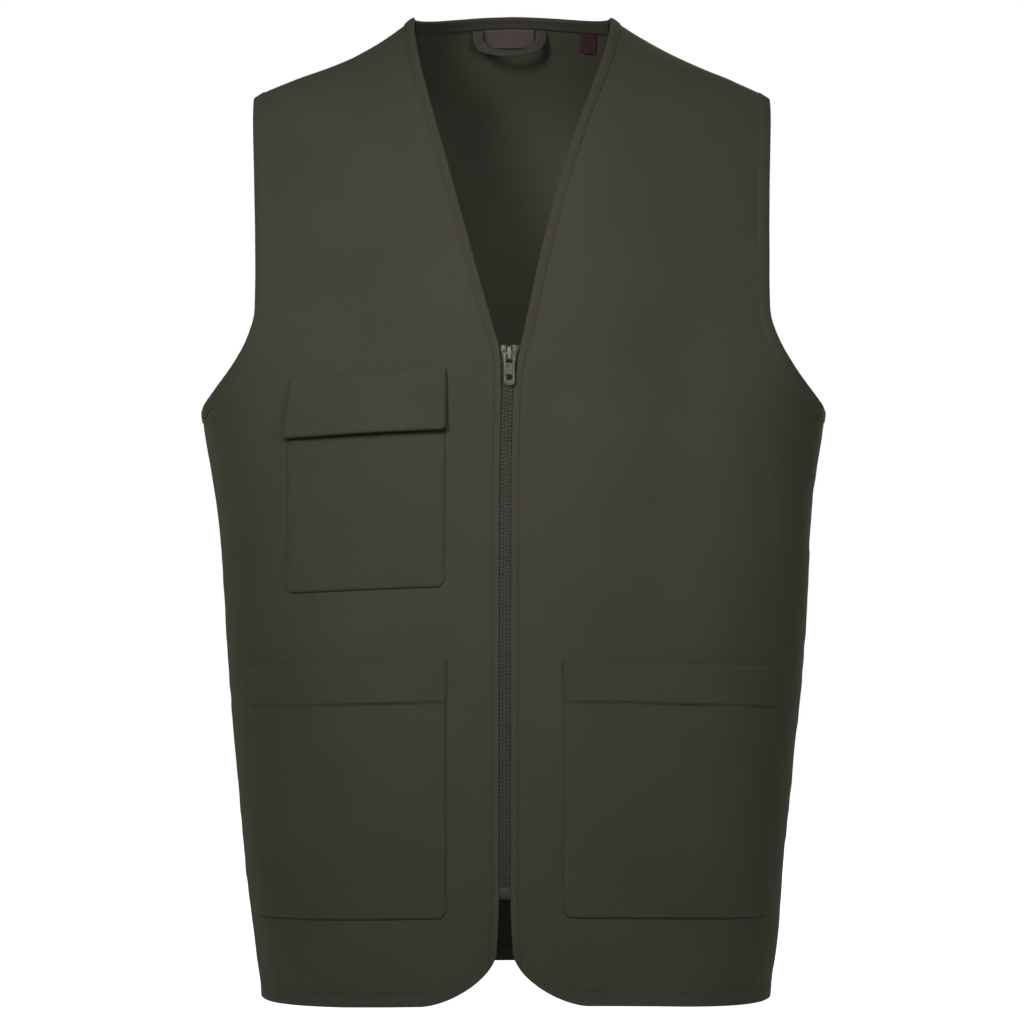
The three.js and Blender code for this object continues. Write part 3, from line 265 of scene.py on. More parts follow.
def hem_corner(sign, x):
    left = np.clip(1 - np.abs(x - inner_edge(sign, 0.0)) / HEM_CORNER[0], 0, 1)
    return HEM_CORNER[1] * (1 - (1 - left**1.65) ** (1 / 1.65))


def lowering(x, z, centre):
    fade = 1 - 1 / (1 + np.exp(-(z - 0.86 * UNDERARM_CUT) / 42))
    return fade * lerp(centre, SIDE_DROP, (x / half_width(side_of(x), z)) ** 2)


def vent(x, z):
    spread = VENT_SPREAD * np.clip(1 - z / VENT_HEIGHT, 0, 1) ** 2
    return spread * np.minimum(np.abs(x) / half_width(side_of(x), z), 1) ** 12


NOISE_CELLS = 97


def noise(u, v, seed):
    """Smooth value noise from -1 to 1"""
    table = np.random.default_rng(seed).uniform(-1, 1, (NOISE_CELLS, NOISE_CELLS))
    iu, iv = np.floor(u).astype(int), np.floor(v).astype(int)
    fu, fv = u - iu, v - iv
    fu = fu**3 * (fu * (fu * 6 - 15) + 10)
    fv = fv**3 * (fv * (fv * 6 - 15) + 10)
    left, right = iu % NOISE_CELLS, (iu + 1) % NOISE_CELLS
    below, above = iv % NOISE_CELLS, (iv + 1) % NOISE_CELLS
    low = lerp(table[left, below], table[right, below], fu)
    high = lerp(table[left, above], table[right, above], fu)
    return lerp(low, high, fv)


def line_mark(distance, width):
    return np.exp(-((distance / width) ** 2))


def groove(distance, depth=0.3, width=0.8):
    return -depth * np.exp(-((distance / width) ** 2))


def soft_relief(x, z, seed):
    large = 1.0 * noise(x / 70 + 9.3, z / 120 + 4.1, seed)
    middle = 0.4 * noise((x + 0.5 * z) / 34, (z - 0.4 * x) / 58, seed + 1)
    small = 0.1 * noise(x / 11, z / 14, seed + 2)
    return large + middle + small


def front_relief(x, z):
    """Rise of the cloth over the plain form: drape, creases, and puckers along the seams"""
    sign = np.where(x > inner_edge(1, z) - 4, 1, -1)
    edge = np.abs(x - inner_edge(sign, z))
    rise = soft_relief(x, z, 11) * np.clip(edge / 30, 0.15, 1) + crease_rise(CREASES, x, z)
    beat = np.sin(2 * np.pi * z / 10.5 + 2.2 * noise(z / 23, sign * 3.3, 17))
    zip_zone = np.clip((ZIP_TOP + 40 - z) / 40, 0.25, 1)
    rise = rise + 0.28 * zip_zone * beat * np.exp(-(((edge - 7) / 7) ** 2))
    width = half_width(sign, z)
    seam = np.clip((width - np.abs(x)) / 10, 0, None)
    beat = noise(z / 9, sign * 5.1, 19) * np.clip((UNDERARM_CUT - z) / 20, 0, 1)
    rise = rise + 0.3 * beat * np.exp(-(seam**2))
    hem = z - hem_corner(sign, x)
    beat = np.sin(2 * np.pi * x / 13 + 2.5 * noise(x / 27, z * 0, 23))
    return rise + 0.3 * beat * np.exp(-(((hem - 12) / 8) ** 2))


def back_relief(x, z):
    rise = soft_relief(x, z, 41)
    beat = np.sin(2 * np.pi * x / 14 + 2.5 * noise(x / 27, z * 0, 47))
    return rise + 0.3 * beat * np.exp(-(((z - 12) / 8) ** 2))


def plain_front(angle, z):
    x = across_at(np.clip(angle, -np.pi / 2, np.pi / 2), z)
    return np.stack([x, front_depth(x, z) - vent(x, z), z - lowering(x, z, 0)], -1)


def plain_back(angle, z):
    x = across_at(np.clip(angle, -np.pi / 2, np.pi / 2), z)
    return np.stack([x, back_depth(x, z) + vent(x, z), z - lowering(x, z, BACK_DROP)], -1)


def unit(v):
    return v / np.maximum(np.linalg.norm(v, axis=-1, keepdims=True), 1e-9)


def on_panel(plain, relief, facing, x, z):
    """Points of a panel's outer face and the outward directions there"""
    x, z = np.broadcast_arrays(np.asarray(x, float), np.asarray(z, float))
    angle = angle_at(x, z)
    step, rise = 0.006, 1.2
    across = plain(angle + step, z) - plain(angle - step, z)
    up = plain(angle, z + rise) - plain(angle, z - rise)
    normal = unit(np.cross(across, up)) * facing
    return plain(angle, z) + normal * relief(x, z)[..., None], normal


def on_front(x, z):
    return on_panel(plain_front, front_relief, 1, x, z)


def on_back(x, z):
    return on_panel(plain_back, back_relief, -1, x, z)


def front_places(sign, reach, share, level, climb):
    """Places of a front's grid: reach from the front edge, then a share of the rest"""

    def column(z):
        start = angle_at(inner_edge(sign, z) + sign * reach, z)
        return lerp(start, sign * outer_angle(sign, z), share)

    level, climb = level[:, None], climb[:, None]
    z = level + 0 * reach
    x = across_at(column(z), z)
    z = np.where(level < POCKET_LOW, lerp(hem_corner(sign, x), POCKET_LOW, level / POCKET_LOW), z)
    first = np.abs(angle_at(inner_edge(sign, BODY), BODY))
    last = outer_angle(sign, BODY)
    top_share = (np.abs(column(BODY)) - first) / (last - first)
    start = np.abs(angle_at(NECK_HALF, BODY))
    end = np.abs(angle_at(sign * SHOULDER_END, BODY))
    top_x = across_at(sign * lerp(start, end, top_share), BODY)
    z = np.where(climb > 0, lerp(level, shoulder_height(top_x), climb), z)
    x = lerp(across_at(column(z), z), top_x, climb**6)
    return x, z


def back_places(share, level, climb):
    level, climb = level[:, None], climb[:, None]
    sign = side_of(share)
    end = np.abs(angle_at(sign * SHOULDER_END, BODY))
    top_x = across_at(share * end, BODY)
    across = np.minimum(np.abs(top_x) / NECK_HALF, 1)
    top = np.where(across < 1, BODY + NAPE_RISE * (1 - across * across), shoulder_height(top_x))
    z = lerp(level, top, climb)
    x = lerp(across_at(share * outer_angle(sign, z), z), top_x, climb**6)
    return x, z


HEM_LINE = 9.0
HEM_FOLD = 12.0
EDGE_LINE = 4.6


def hem_thickness(height):
    """Thickness of a panel, doubled where its hem is folded inside"""
    return (CLOTH + 0.8 / (1 + np.exp((height - HEM_FOLD) / 0.35)))[..., None]


def panel_rows():
    near = [0, 0.6, 1.3, 2.2, 3.5, 5, 6.5, 7.6, 8.2, 8.6, 9, 9.4, 9.8, 10.4, 11.2, 11.8, 12.3]
    near += [13, 15, 18]
    levels = np.concatenate([near, np.linspace(22, ZIP_TOP, 110)])
    climbs = np.sin(np.arange(1, 81) / 80 * np.pi / 2)
    level = np.concatenate([levels, np.full(len(climbs), ZIP_TOP)])
    return level, np.concatenate([np.zeros(len(levels)), climbs])


def front_columns():
    near = np.array([0, 0.5, 1.2, 2.2, 3.2, 3.9, 4.3, 4.6, 4.9, 5.3, 6, 7.2, 9])
    shares = np.linspace(0, 1, 68)
    reach = np.concatenate([near, np.full(len(shares), 11.0)])
    return reach, np.concatenate([np.zeros(len(near)), shares])


# Meshes
def to_frame(points):
    return (np.asarray(points, float) - (0, NAPE_FACE, NAPE)) / 1000


def add_object(name, points, faces, material, body="vest", marks=None, sharp=50):
    mesh = bpy.data.meshes.new(name)
    mesh.from_pydata(to_frame(points).tolist(), [], faces)
    mesh.update()
    mesh.polygons.foreach_set("use_smooth", [True] * len(mesh.polygons))
    mesh.set_sharp_from_angle(angle=math.radians(sharp))
    for key, values in (marks or {}).items():
        values = np.asarray(values, np.float32)
        kind = "FLOAT_VECTOR" if values.ndim == 2 else "FLOAT"
        attribute = mesh.attributes.new(key, kind, "POINT")
        attribute.data.foreach_set("vector" if values.ndim == 2 else "value", values.ravel())
    mesh.materials.append(material)
    made = bpy.data.objects.new(name, mesh)
    bpy.context.scene.collection.objects.link(made)
    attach(made, body)
    return made


def grid_faces(rows, columns, start=0, turned=False):
    at = np.arange(rows * columns).reshape(rows, columns) + start
    quads = np.stack([at[:-1, :-1], at[:-1, 1:], at[1:, 1:], at[1:, :-1]], -1).reshape(-1, 4)
    return (quads[:, ::-1] if turned else quads).tolist()


def closed_sheet(outer, inner, bulge=0.35):
    """Points and faces of a closed sheet whose rim is rounded outward"""
    rows, columns = outer.shape[:2]
    count = rows * columns
    at = np.arange(count).reshape(rows, columns)
    loop = [(0, c) for c in range(columns - 1)] + [(r, columns - 1) for r in range(rows - 1)]
    loop += [(rows - 1, c) for c in range(columns - 1, 0, -1)]
    loop += [(r, 0) for r in range(rows - 1, 0, -1)]
    inside = [(min(max(r, 1), rows - 2), min(max(c, 1), columns - 2)) for r, c in loop]
    rim = np.array([outer[p] + inner[p] for p in loop]) / 2
    out = unit(np.array([outer[p] - outer[q] for p, q in zip(loop, inside)]))
    thick = np.array([np.linalg.norm(outer[p] - inner[p]) for p in loop])
    rim = rim + out * (thick * bulge)[:, None]
    points = np.concatenate([outer.reshape(-1, 3), inner.reshape(-1, 3), rim])
    faces = grid_faces(rows, columns) + grid_faces(rows, columns, count, True)
    n = len(loop)
    for k in range(n):
        m = (k + 1) % n
        a, b = int(at[loop[k]]), int(at[loop[m]])
        c, d = 2 * count + k, 2 * count + m
        faces += [[b, a, c, d], [d, c, a + count, b + count]]
    return points, orient(points, faces), loop


def orient(points, faces):
    quads = np.array([f[:3] for f in faces])
    a, b, c = (points[quads[:, k]] - points.mean(0) for k in range(3))
    volume = np.einsum("ij,ij->i", a, np.cross(b, c)).sum()
    return [f[::-1] for f in faces] if volume < 0 else faces


def arc_lengths(points, axis):
    steps = np.linalg.norm(np.diff(points, axis=axis), axis=-1)
    start = np.zeros_like(np.take(steps, [0], axis=axis))
    return np.concatenate([start, np.cumsum(steps, axis=axis)], axis=axis)


def cloth_marks(outer, loop, wear, seam):
    u = arc_lengths(outer, 1)
    near = int(np.argmin(np.abs(outer[..., 0]).mean(0)))
    turn = np.sign(outer[0, -1, 0] - outer[0, 0, 0])
    u = outer[:, [near], 0] + turn * (u - u[:, [near]])
    v = outer[..., 2]
    cloth = np.stack([u, v, 0 * v], -1) / 1000
    made = {}
    fields = {"cloth": cloth.reshape(-1, 3), "wear": wear.ravel(), "seam": seam.ravel()}
    for key, values in fields.items():
        rim = values[[r * outer.shape[1] + c for r, c in loop]]
        made[key] = np.concatenate([values, values, rim])
    return made


def rim_distance(outer):
    """Distance in the sheet from its nearest edge"""
    u = arc_lengths(outer, 1)
    v = arc_lengths(outer, 0)
    return np.minimum.reduce([u, u[:, [-1]] - u, v, v[[-1]] - v])


def add_sheet(name, outer, inner, material, slot, node=None, bulge=0.35, seam=0.0, **facts):
    points, faces, loop = closed_sheet(outer, inner, bulge)
    wear = np.exp(-rim_distance(outer) / WEAR_REACH)
    # The seam mark is painted shade: it darkens the colour along stitch creases and patch edges, and
    # under the chest flap
    marks = cloth_marks(outer, loop, wear, seam + 0 * wear)
    made = add_object(name, points, faces, material, marks=marks)
    if node:
        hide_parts(node)
    width = arc_lengths(outer, 1)[:, -1]
    length = arc_lengths(outer, 0)[-1]
    edge = outer[1:, 1:] - outer[:-1, :-1], outer[1:, :-1] - outer[:-1, 1:]
    area = np.linalg.norm(np.cross(*edge), axis=-1).sum() / 2 / 1e6
    flat = (float(width.max()) / 1000, float(length.max()) / 1000)
    SHEETS[name] = {"obj": made, "flat": flat, "area": float(area), "with": [], **facts}
    return made


WEAR_REACH = 1.5
SHEETS = {}


def resample(line, step, closed=False):
    if closed:
        line = np.concatenate([line, line[:1]])
    length = np.concatenate([[0], np.cumsum(np.linalg.norm(np.diff(line, axis=0), axis=1))])
    count = max(2, int(round(length[-1] / step)) + 1)
    places = np.linspace(0, length[-1], count)
    made = np.stack([np.interp(places, length, line[:, k]) for k in range(line.shape[1])], -1)
    return made[:-1] if closed else made


STITCH_PITCH = 2.7


def stitch_row(line, normals, closed=False):
    """Thread of a row of stitches that lies half sunk in the cloth, one spindle a stitch"""
    both = resample(np.concatenate([line, normals], 1), STITCH_PITCH, closed)
    line, normals = both[:, :3], unit(both[:, 3:])
    ahead = np.roll(line, -1, axis=0) - line
    if not closed:
        line, normals, ahead = line[:-1], normals[:-1], ahead[:-1]
    along = unit(ahead)
    beside = unit(np.cross(normals, along))
    points, faces = [], []
    stations = ((0.1, 0.1, -0.12), (0.3, 0.24, 0.13), (0.62, 0.24, 0.13), (0.84, 0.1, -0.12))
    for k in range(len(line)):
        base = len(points)
        for t, half, lift in stations:
            centre = line[k] + ahead[k] * t
            for side, up in ((-half, -0.15), (0, lift), (half, -0.15)):
                points.append(centre + beside[k] * side + normals[k] * up)
        for s in range(3):
            a = base + 3 * s
            faces += [[a, a + 1, a + 4, a + 3], [a + 1, a + 2, a + 5, a + 4]]
            faces.append([a + 2, a, a + 3, a + 5])
        faces += [[base + 2, base + 1, base], [base + 9, base + 10, base + 11]]
    return points, faces


def add_stitches(name, rows, carrier):
    points, faces = [], []
    for row in rows:
        some, more = stitch_row(*row)
        faces += [[i + len(points) for i in f] for f in more]
        points += some
    made = add_object(name, np.array(points), faces, THREAD)
    SHEETS[carrier]["with"].append(made)
    return made


def front_line(x, z, lift=0.0):
    points, normals = on_front(x, z)
    return points + normals * lift, normals


def back_line(x, z, lift=0.0):
    points, normals = on_back(x, z)
    return points + normals * lift, normals


# Materials
def node(tree, kind, values=None, **settings):
    made = tree.nodes.new(kind)
    for key, value in settings.items():
        setattr(made, key, value)
    for key, value in (values or {}).items():
        if isinstance(value, bpy.types.NodeSocket):
            tree.links.new(value, made.inputs[key])
        else:
            made.inputs[key].default_value = value
    return made


def calc(tree, operation, a, b=0.0, c=0.0):
    values = {0: a, 1: b}
    if operation == "MULTIPLY_ADD":
        values[2] = c
    return node(tree, "ShaderNodeMath", values, operation=operation).outputs[0]


def mix(tree, factor, a, b, kind="MIX"):
    made = node(tree, "ShaderNodeMix", {0: factor, 6: a, 7: b}, data_type="RGBA", blend_type=kind)
    return made.outputs[2]


def linear(color):
    return tuple(((c + 0.055) / 1.055) ** 2.4 if c > 0.04045 else c / 12.92 for c in color) + (1,)


def new_material(name):
    material = bpy.data.materials.new(name)
    material.use_nodes = True
    tree = material.node_tree
    tree.nodes.clear()
    shader = node(tree, "ShaderNodeBsdfPrincipled")
    node(tree, "ShaderNodeOutputMaterial", {"Surface": shader.outputs[0]})
    return material, tree, shader


def woven(name, color, pitch=0.00085, slope=0.9, contrast=0.16, sheen=0.3, wear=0.12, rough=0.86):
    """Twill or tape: slanted ribs of yarn, cloudy dye, worn edges, and painted shade from the seam
    mark along stitch creases, patch edges and under the chest flap
    """
    material, tree, shader = new_material(name)
    place = node(tree, "ShaderNodeAttribute", attribute_name="cloth").outputs["Vector"]
    parts = node(tree, "ShaderNodeSeparateXYZ", {0: place})
    u, v = parts.outputs[0], parts.outputs[1]
    sway = node(tree, "ShaderNodeTexNoise", {"Vector": place, "Scale": 90.0, "Detail": 2.0})
    bent = calc(tree, "MULTIPLY_ADD", sway.outputs[0], 0.0012, u)
    slant = calc(tree, "MULTIPLY_ADD", v, slope, bent)
    rib = calc(tree, "SINE", calc(tree, "MULTIPLY", slant, 2 * math.pi / pitch))
    cross = calc(tree, "MULTIPLY_ADD", u, -0.5 * slope, v)
    yarn = calc(tree, "SINE", calc(tree, "MULTIPLY", cross, 2 * math.pi / (pitch * 0.62)))
    height = calc(tree, "MULTIPLY_ADD", yarn, 0.35, rib)
    fine = node(tree, "ShaderNodeTexNoise", {"Vector": place, "Scale": 1900.0, "Detail": 3.0})
    height = calc(tree, "MULTIPLY_ADD", fine.outputs[0], 1.3, height)
    cloud = node(tree, "ShaderNodeTexNoise", {"Vector": place, "Scale": 14.0, "Detail": 5.0})
    speck = node(tree, "ShaderNodeTexNoise", {"Vector": place, "Scale": 620.0, "Detail": 2.0})
    dark = linear([c * 0.9 for c in color])
    pale = linear([min(c * 1.1, 1) for c in color])
    base = mix(tree, cloud.outputs[0], dark, pale)
    weave = calc(tree, "MULTIPLY_ADD", height, contrast * 0.25, 0.42)
    weave = calc(tree, "MULTIPLY_ADD", speck.outputs[0], contrast, weave)
    shade = node(tree, "ShaderNodeCombineColor", {0: weave, 1: weave, 2: weave}).outputs[0]
    base = mix(tree, 0.55, base, shade, "OVERLAY")
    worn = node(tree, "ShaderNodeAttribute", attribute_name="wear").outputs["Fac"]
    rub = node(tree, "ShaderNodeTexNoise", {"Vector": place, "Scale": 260.0, "Detail": 3.0})
    worn = calc(tree, "MULTIPLY", worn, calc(tree, "MULTIPLY", rub.outputs[0], wear * 1.5))
    faded = linear([min(c * 1.32 + 0.015, 1) for c in color])
    base = mix(tree, worn, base, faded)
    # Painted shade: the seam mark pulls the colour toward 0.22 of it, for shade in stitch creases,
    # along patch edges and under the chest flap
    seam = node(tree, "ShaderNodeAttribute", attribute_name="seam").outputs["Fac"]
    base = mix(tree, seam, base, linear([c * 0.22 for c in color]))
    tree.links.new(base, shader.inputs["Base Color"])
    roughness = calc(tree, "MULTIPLY_ADD", cloud.outputs[0], 0.1, rough - 0.05)
    tree.links.new(roughness, shader.inputs["Roughness"])
    bump = node(tree, "ShaderNodeBump", {"Height": height, "Strength": 0.45, "Distance": 0.00012})
    tree.links.new(bump.outputs[0], shader.inputs["Normal"])
    shader.inputs["Sheen Weight"].default_value = sheen
    shader.inputs["Sheen Roughness"].default_value = 0.45
    shader.inputs["Sheen Tint"].default_value = linear([min(c * 2.2, 1) for c in color])
    shader.inputs["Specular IOR Level"].default_value = 0.25
    return material


def metal(name, color, rough=0.4, metallic=0.85):
    """Aged nickel: brushed, dulled in patches and rubbed bright on raised places"""
    material, tree, shader = new_material(name)
    place = node(tree, "ShaderNodeTexCoord").outputs["Object"]
    patch = node(tree, "ShaderNodeTexNoise", {"Vector": place, "Scale": 420.0, "Detail": 4.0})
    squeeze = node(tree, "ShaderNodeMapping", {"Vector": place, "Scale": (9000.0, 9000.0, 700.0)})
    brush = node(tree, "ShaderNodeTexNoise", {"Vector": squeeze.outputs[0], "Scale": 1.0})
    ramp = node(tree, "ShaderNodeMapRange", {0: patch.outputs[0], 1: 0.35, 2: 0.7})
    dark, pale = linear([c * 0.72 for c in color]), linear([min(c * 1.15, 1) for c in color])
    base = mix(tree, ramp.outputs[0], dark, pale)
    edge = node(tree, "ShaderNodeNewGeometry").outputs["Pointiness"]
    bright = node(tree, "ShaderNodeMapRange", {0: edge, 1: 0.51, 2: 0.58, 4: 0.6}).outputs[0]
    base = mix(tree, bright, base, linear([min(c * 1.6, 1) for c in color]))
    tree.links.new(base, shader.inputs["Base Color"])
    roughness = calc(tree, "MULTIPLY_ADD", patch.outputs[0], 0.25, rough - 0.1)
    tree.links.new(roughness, shader.inputs["Roughness"])
    relief = {"Height": brush.outputs[0], "Strength": 0.2, "Distance": 0.00004}
    bump = node(tree, "ShaderNodeBump", relief)
    tree.links.new(bump.outputs[0], shader.inputs["Normal"])
    shader.inputs["Metallic"].default_value = metallic
    return material


def thread(name, color):
    material, tree, shader = new_material(name)
    place = node(tree, "ShaderNodeTexCoord").outputs["Object"]
    hue = node(tree, "ShaderNodeTexNoise", {"Vector": place, "Scale": 700.0, "Detail": 2.0})
    waves = {"Vector": place, "Scale": 900.0}
    twist = node(tree, "ShaderNodeTexWave", waves, bands_direction="DIAGONAL")
    low, high = linear([c * 0.85 for c in color]), linear([min(c * 1.2, 1) for c in color])
    tree.links.new(mix(tree, hue.outputs[0], low, high), shader.inputs["Base Color"])
    relief = {"Height": twist.outputs[0], "Strength": 0.4, "Distance": 0.0001}
    bump = node(tree, "ShaderNodeBump", relief)
    tree.links.new(bump.outputs[0], shader.inputs["Normal"])
    shader.inputs["Roughness"].default_value = 0.7
    shader.inputs["Sheen Weight"].default_value = 0.2
    return material


TWILL = woven("olive_twill", (0.222, 0.217, 0.176))
POCKET_TWILL = woven("olive_pocket_twill", (0.220, 0.215, 0.173))
BINDING = woven("olive_binding", (0.216, 0.211, 0.170), pitch=0.0007, wear=0.16)
TAPE = woven("olive_tape", (0.192, 0.189, 0.154), pitch=0.0011, slope=0.0, contrast=0.3, wear=0.15)
LABEL = woven("label_weave", (0.29, 0.25, 0.25), 0.0006, 0.0, 0.25, 0.15, 0.5, 0.6)
TAB = woven("tab_weave", (0.235, 0.14, 0.15), 0.0006, 0.0, 0.25, 0.15, 0.4, 0.6)
THREAD = thread("olive_thread", (0.198, 0.194, 0.155))
NICKEL = metal("aged_nickel", (0.285, 0.285, 0.255), 0.42, 0.8)
TOOTH = metal("tooth_nickel", (0.155, 0.155, 0.132), 0.5, 0.55)

# Panels
LEVEL, CLIMB = panel_rows()
SIDES = (("right", -1), ("left", 1))
FRONT_EDGES = {}
for name, sign in SIDES:
    reach, share = front_columns()
    x, z = front_places(sign, reach, share, LEVEL, CLIMB)
    outer, normal = on_front(x, z)
    reach_in = np.abs(x - inner_edge(sign, z))
    hem = z - hem_corner(sign, x)
    edge_groove = groove(reach_in - EDGE_LINE, 0.28, 0.5)
    hem_groove = groove(hem - HEM_LINE, 0.28, 0.6) * (z < 60)
    # Painted shade: dark lines on the colour along the edge and hem stitch lines, in their creases
    edge_line_shade = 0.3 * line_mark(reach_in - EDGE_LINE, 0.6)
    hem_line_shade = 0.25 * line_mark(hem - HEM_LINE, 0.8) * (z < 60)
    outer = outer + normal * (edge_groove + hem_groove)[..., None]
    add_sheet(
        f"front_cloth_{name}",
        outer,
        outer - normal * hem_thickness(hem),
        TWILL,
        "body_cloth",
        node=f"front_panel_{name}",
        seam=edge_line_shade + hem_line_shade,
        held="hung",
        rests_on=[f"armhole_binding_{name}"],
    )
    FRONT_EDGES[sign] = (outer[:, -1], normal[:, -1])
    zs = np.linspace(50, ZIP_TOP + 2, 160)
    rows = [front_line(inner_edge(sign, zs) + sign * EDGE_LINE, zs)]
    hem_x = inner_edge(sign, 0.0) + sign * np.linspace(6, 170, 90)
    hem_z = hem_corner(sign, hem_x) + HEM_LINE
    rows.append(front_line(hem_x, hem_z))
    add_stitches(f"front_stitches_{name}", rows, f"front_cloth_{name}")

neck_share = float(angle_at(NECK_HALF, BODY) / angle_at(SHOULDER_END, BODY))
half = np.concatenate([np.linspace(0, neck_share, 24), np.linspace(neck_share, 1, 50)[1:]])
shares = np.concatenate([-half[:0:-1], half])
x, z = back_places(shares, LEVEL, CLIMB)
outer, normal = on_back(x, z)
outer = outer + normal * (groove(z - HEM_LINE, 0.28, 0.6) * (z < 40))[..., None]
BACK_GRID = (x, z, outer, normal)
add_sheet(
    "back_cloth",
    outer,
    outer - normal * hem_thickness(z),
    TWILL,
    "body_cloth",
    node="back_panel",
    # painted shade along the hem stitch line
    seam=0.5 * line_mark(z - HEM_LINE, 0.8),
    held="hung",
    rests_on=["back_neck_tape"],
)
xs = np.linspace(-176, 178, 150)
add_stitches("back_stitches", [back_line(xs, HEM_LINE + 0 * xs)], "back_cloth")

# Armhole bindings: step along the ring, middle and half width across the edge, half thickness,
# place of the stitches, and the cloth's arc for one radian of the section
BINDING_STEP = 2.4
BINDING_MIDDLE = 2.4
BINDING_HALF = 4.7
BINDING_LIFT = 1.45
BINDING_STITCH = (0.9, 1.36)
SECTION_ARC = 0.0016
for name, sign in SIDES:
    front_edge, front_normal = FRONT_EDGES[sign]
    start = int(np.argmin(np.abs(LEVEL - UNDERARM_CUT) + 1000 * CLIMB))
    column = 0 if sign < 0 else -1
    back_edge, back_normal = BACK_GRID[2][:, column], BACK_GRID[3][:, column]
    ring = np.concatenate([front_edge[start:], back_edge[start:][::-1]])
    turns = np.concatenate([front_normal[start:], back_normal[start:][::-1]])
    both = resample(np.concatenate([ring, turns], 1), BINDING_STEP, True)
    for _ in range(2):
        both = (np.roll(both, 1, 0) + 2 * both + np.roll(both, -1, 0)) / 4
    ring, turns = both[:, :3], unit(both[:, 3:])
    along = unit(np.roll(ring, -1, 0) - np.roll(ring, 1, 0))
    away = unit(np.cross(along, turns)) * sign
    inward = np.einsum("ij,ij->i", away, ring.mean(0) - ring).mean()
    away = away if inward > 0 else -away
    count = len(ring)
    wave = 0.12 * np.sin(2 * np.pi * np.arange(count) * BINDING_STEP / 7.5)
    wave = wave + 0.12 * noise(np.arange(count) / 9.0, np.zeros(count), 61)
    points = []
    profile = np.linspace(0, 2 * np.pi, 14, endpoint=False)
    for t in profile:
        across = BINDING_MIDDLE + BINDING_HALF * np.sign(np.cos(t)) * abs(np.cos(t)) ** 0.7
        lift = -CLOTH / 2 + (BINDING_LIFT + wave) * np.sign(np.sin(t)) * abs(np.sin(t)) ** 0.6
        points.append(ring + away * across + turns * lift[:, None])
    grid = np.stack(points, 1)
    faces = []
    width = len(profile)
    for k in range(count):
        m = (k + 1) % count
        for c in range(width):
            d = (c + 1) % width
            faces.append([k * width + c, k * width + d, m * width + d, m * width + c])
    flat = grid.reshape(-1, 3)
    length = np.arange(count) * BINDING_STEP / 1000
    u = np.repeat(length, width)
    v = np.tile(profile * SECTION_ARC, count)
    turned = np.cos(np.tile(profile, count))
    marks = {
        "cloth": np.stack([v, u, 0 * u], -1),
        "wear": 0.2 + 0.2 * np.abs(turned),
        # seam: painted shade along the binding's folded edge at the armhole opening
        "seam": 0.75 * np.clip(turned * 4 - 3, 0, 1),
    }
    made = add_object(
        f"binding_{name}", flat, orient(flat, faces), BINDING, marks=marks
    )
    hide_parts(f"armhole_binding_{name}")
    stitch_in, stitch_lift = BINDING_STITCH
    outer_line = ring + away * stitch_in + turns * (-CLOTH / 2 + stitch_lift)
    back_side = ring + away * stitch_in - turns * (CLOTH / 2 + stitch_lift)
    SHEETS[f"binding_{name}"] = {
        "obj": made, "flat": (0.0105, float(length[-1])), "area": None, "with": [],
        "held": "stretched", "rests_on": [f"front_cloth_{name}", "back_cloth"],
    }
    rows = [(outer_line, turns, True), (back_side, -turns, True)]
    add_stitches(f"binding_stitches_{name}", rows, f"binding_{name}")

# V-neck bands
BAND_ROWS = 90
for name, sign in SIDES:
    reach = np.array([-0.7, -0.5, 0, 0.8, 2, 3.4, 4.6, 5.1, 5.5, 6.1, 6.5, 6.7])
    lift = np.array([-0.9, 0.1, 0.7, 1.0, 1.1, 1.05, 0.85, 0.7, 0.8, 0.65, 0.35, 0.05])
    climb = np.sin(np.arange(BAND_ROWS + 1) / BAND_ROWS * np.pi / 2)
    x, z = front_places(sign, reach, 0 * reach, np.full(BAND_ROWS + 1, ZIP_TOP), climb)
    base, normal = on_front(x, z)
    fade = np.clip((z - ZIP_TOP) / 22, 0, 1) ** 0.7
    lift = lerp(0.12, lift, fade)
    beat = 0.1 * np.sin(2 * np.pi * z / 8) * (lift > 0.5)
    outer = base + normal * (lift + beat)[..., None]
    inner = base + normal * np.minimum(0.05, lift - 0.05)[..., None]
    add_sheet(
        f"neck_band_cloth_{name}", outer, inner, BINDING, "binding_cloth",
        node=f"neck_band_{name}", bulge=0.1, held="stretched",
        # painted shade along the band's stitch line
        seam=0.4 * line_mark(np.arange(12) - 7, 0.7),
        rests_on=[f"front_cloth_{name}"],
    )
    line = base[:, 7] + normal[:, 7] * (lift[:, [7]] + 0.1)
    add_stitches(f"neck_stitches_{name}", [(line, normal[:, 7])], f"neck_band_cloth_{name}")


# Pockets: insets from the zip's edge, the flap's drop toward the side, and its pen slots across
POCKET_INSET = 36
CHEST_INSET = 37.5
CHEST_OUTSET = 148.5
FLAP_DROP = 4.3
PEN_SLOTS = (-75, -118.7)


def pocket_grid(x_low, x_high, z_low, z_high, columns, rows, corner=0.0, levels=()):
    """Places of a patch between two lines across and two up, its lower corners rounded"""
    u = np.linspace(0, 1, columns)
    v = np.concatenate([[0, 0.004, 0.012, 0.022], np.linspace(0.035, 1, rows - 4), levels])
    v = np.unique(v)[:, None]
    z = lerp(z_low, z_high, v) + 0 * u
    a = lerp(angle_at(x_low(z), z), angle_at(x_high(z), z), u)
    x = across_at(a, z)
    near = np.minimum(np.abs(x - x_low(z)), np.abs(x - x_high(z)))
    left = np.clip(1 - near / max(corner, 1e-6), 0, 1)
    lift = corner * (1 - np.sqrt(1 - left**2)) if corner else 0 * x
    z = z + lift * (1 - v) ** 8
    return x, z, u + 0 * v, v + 0 * u


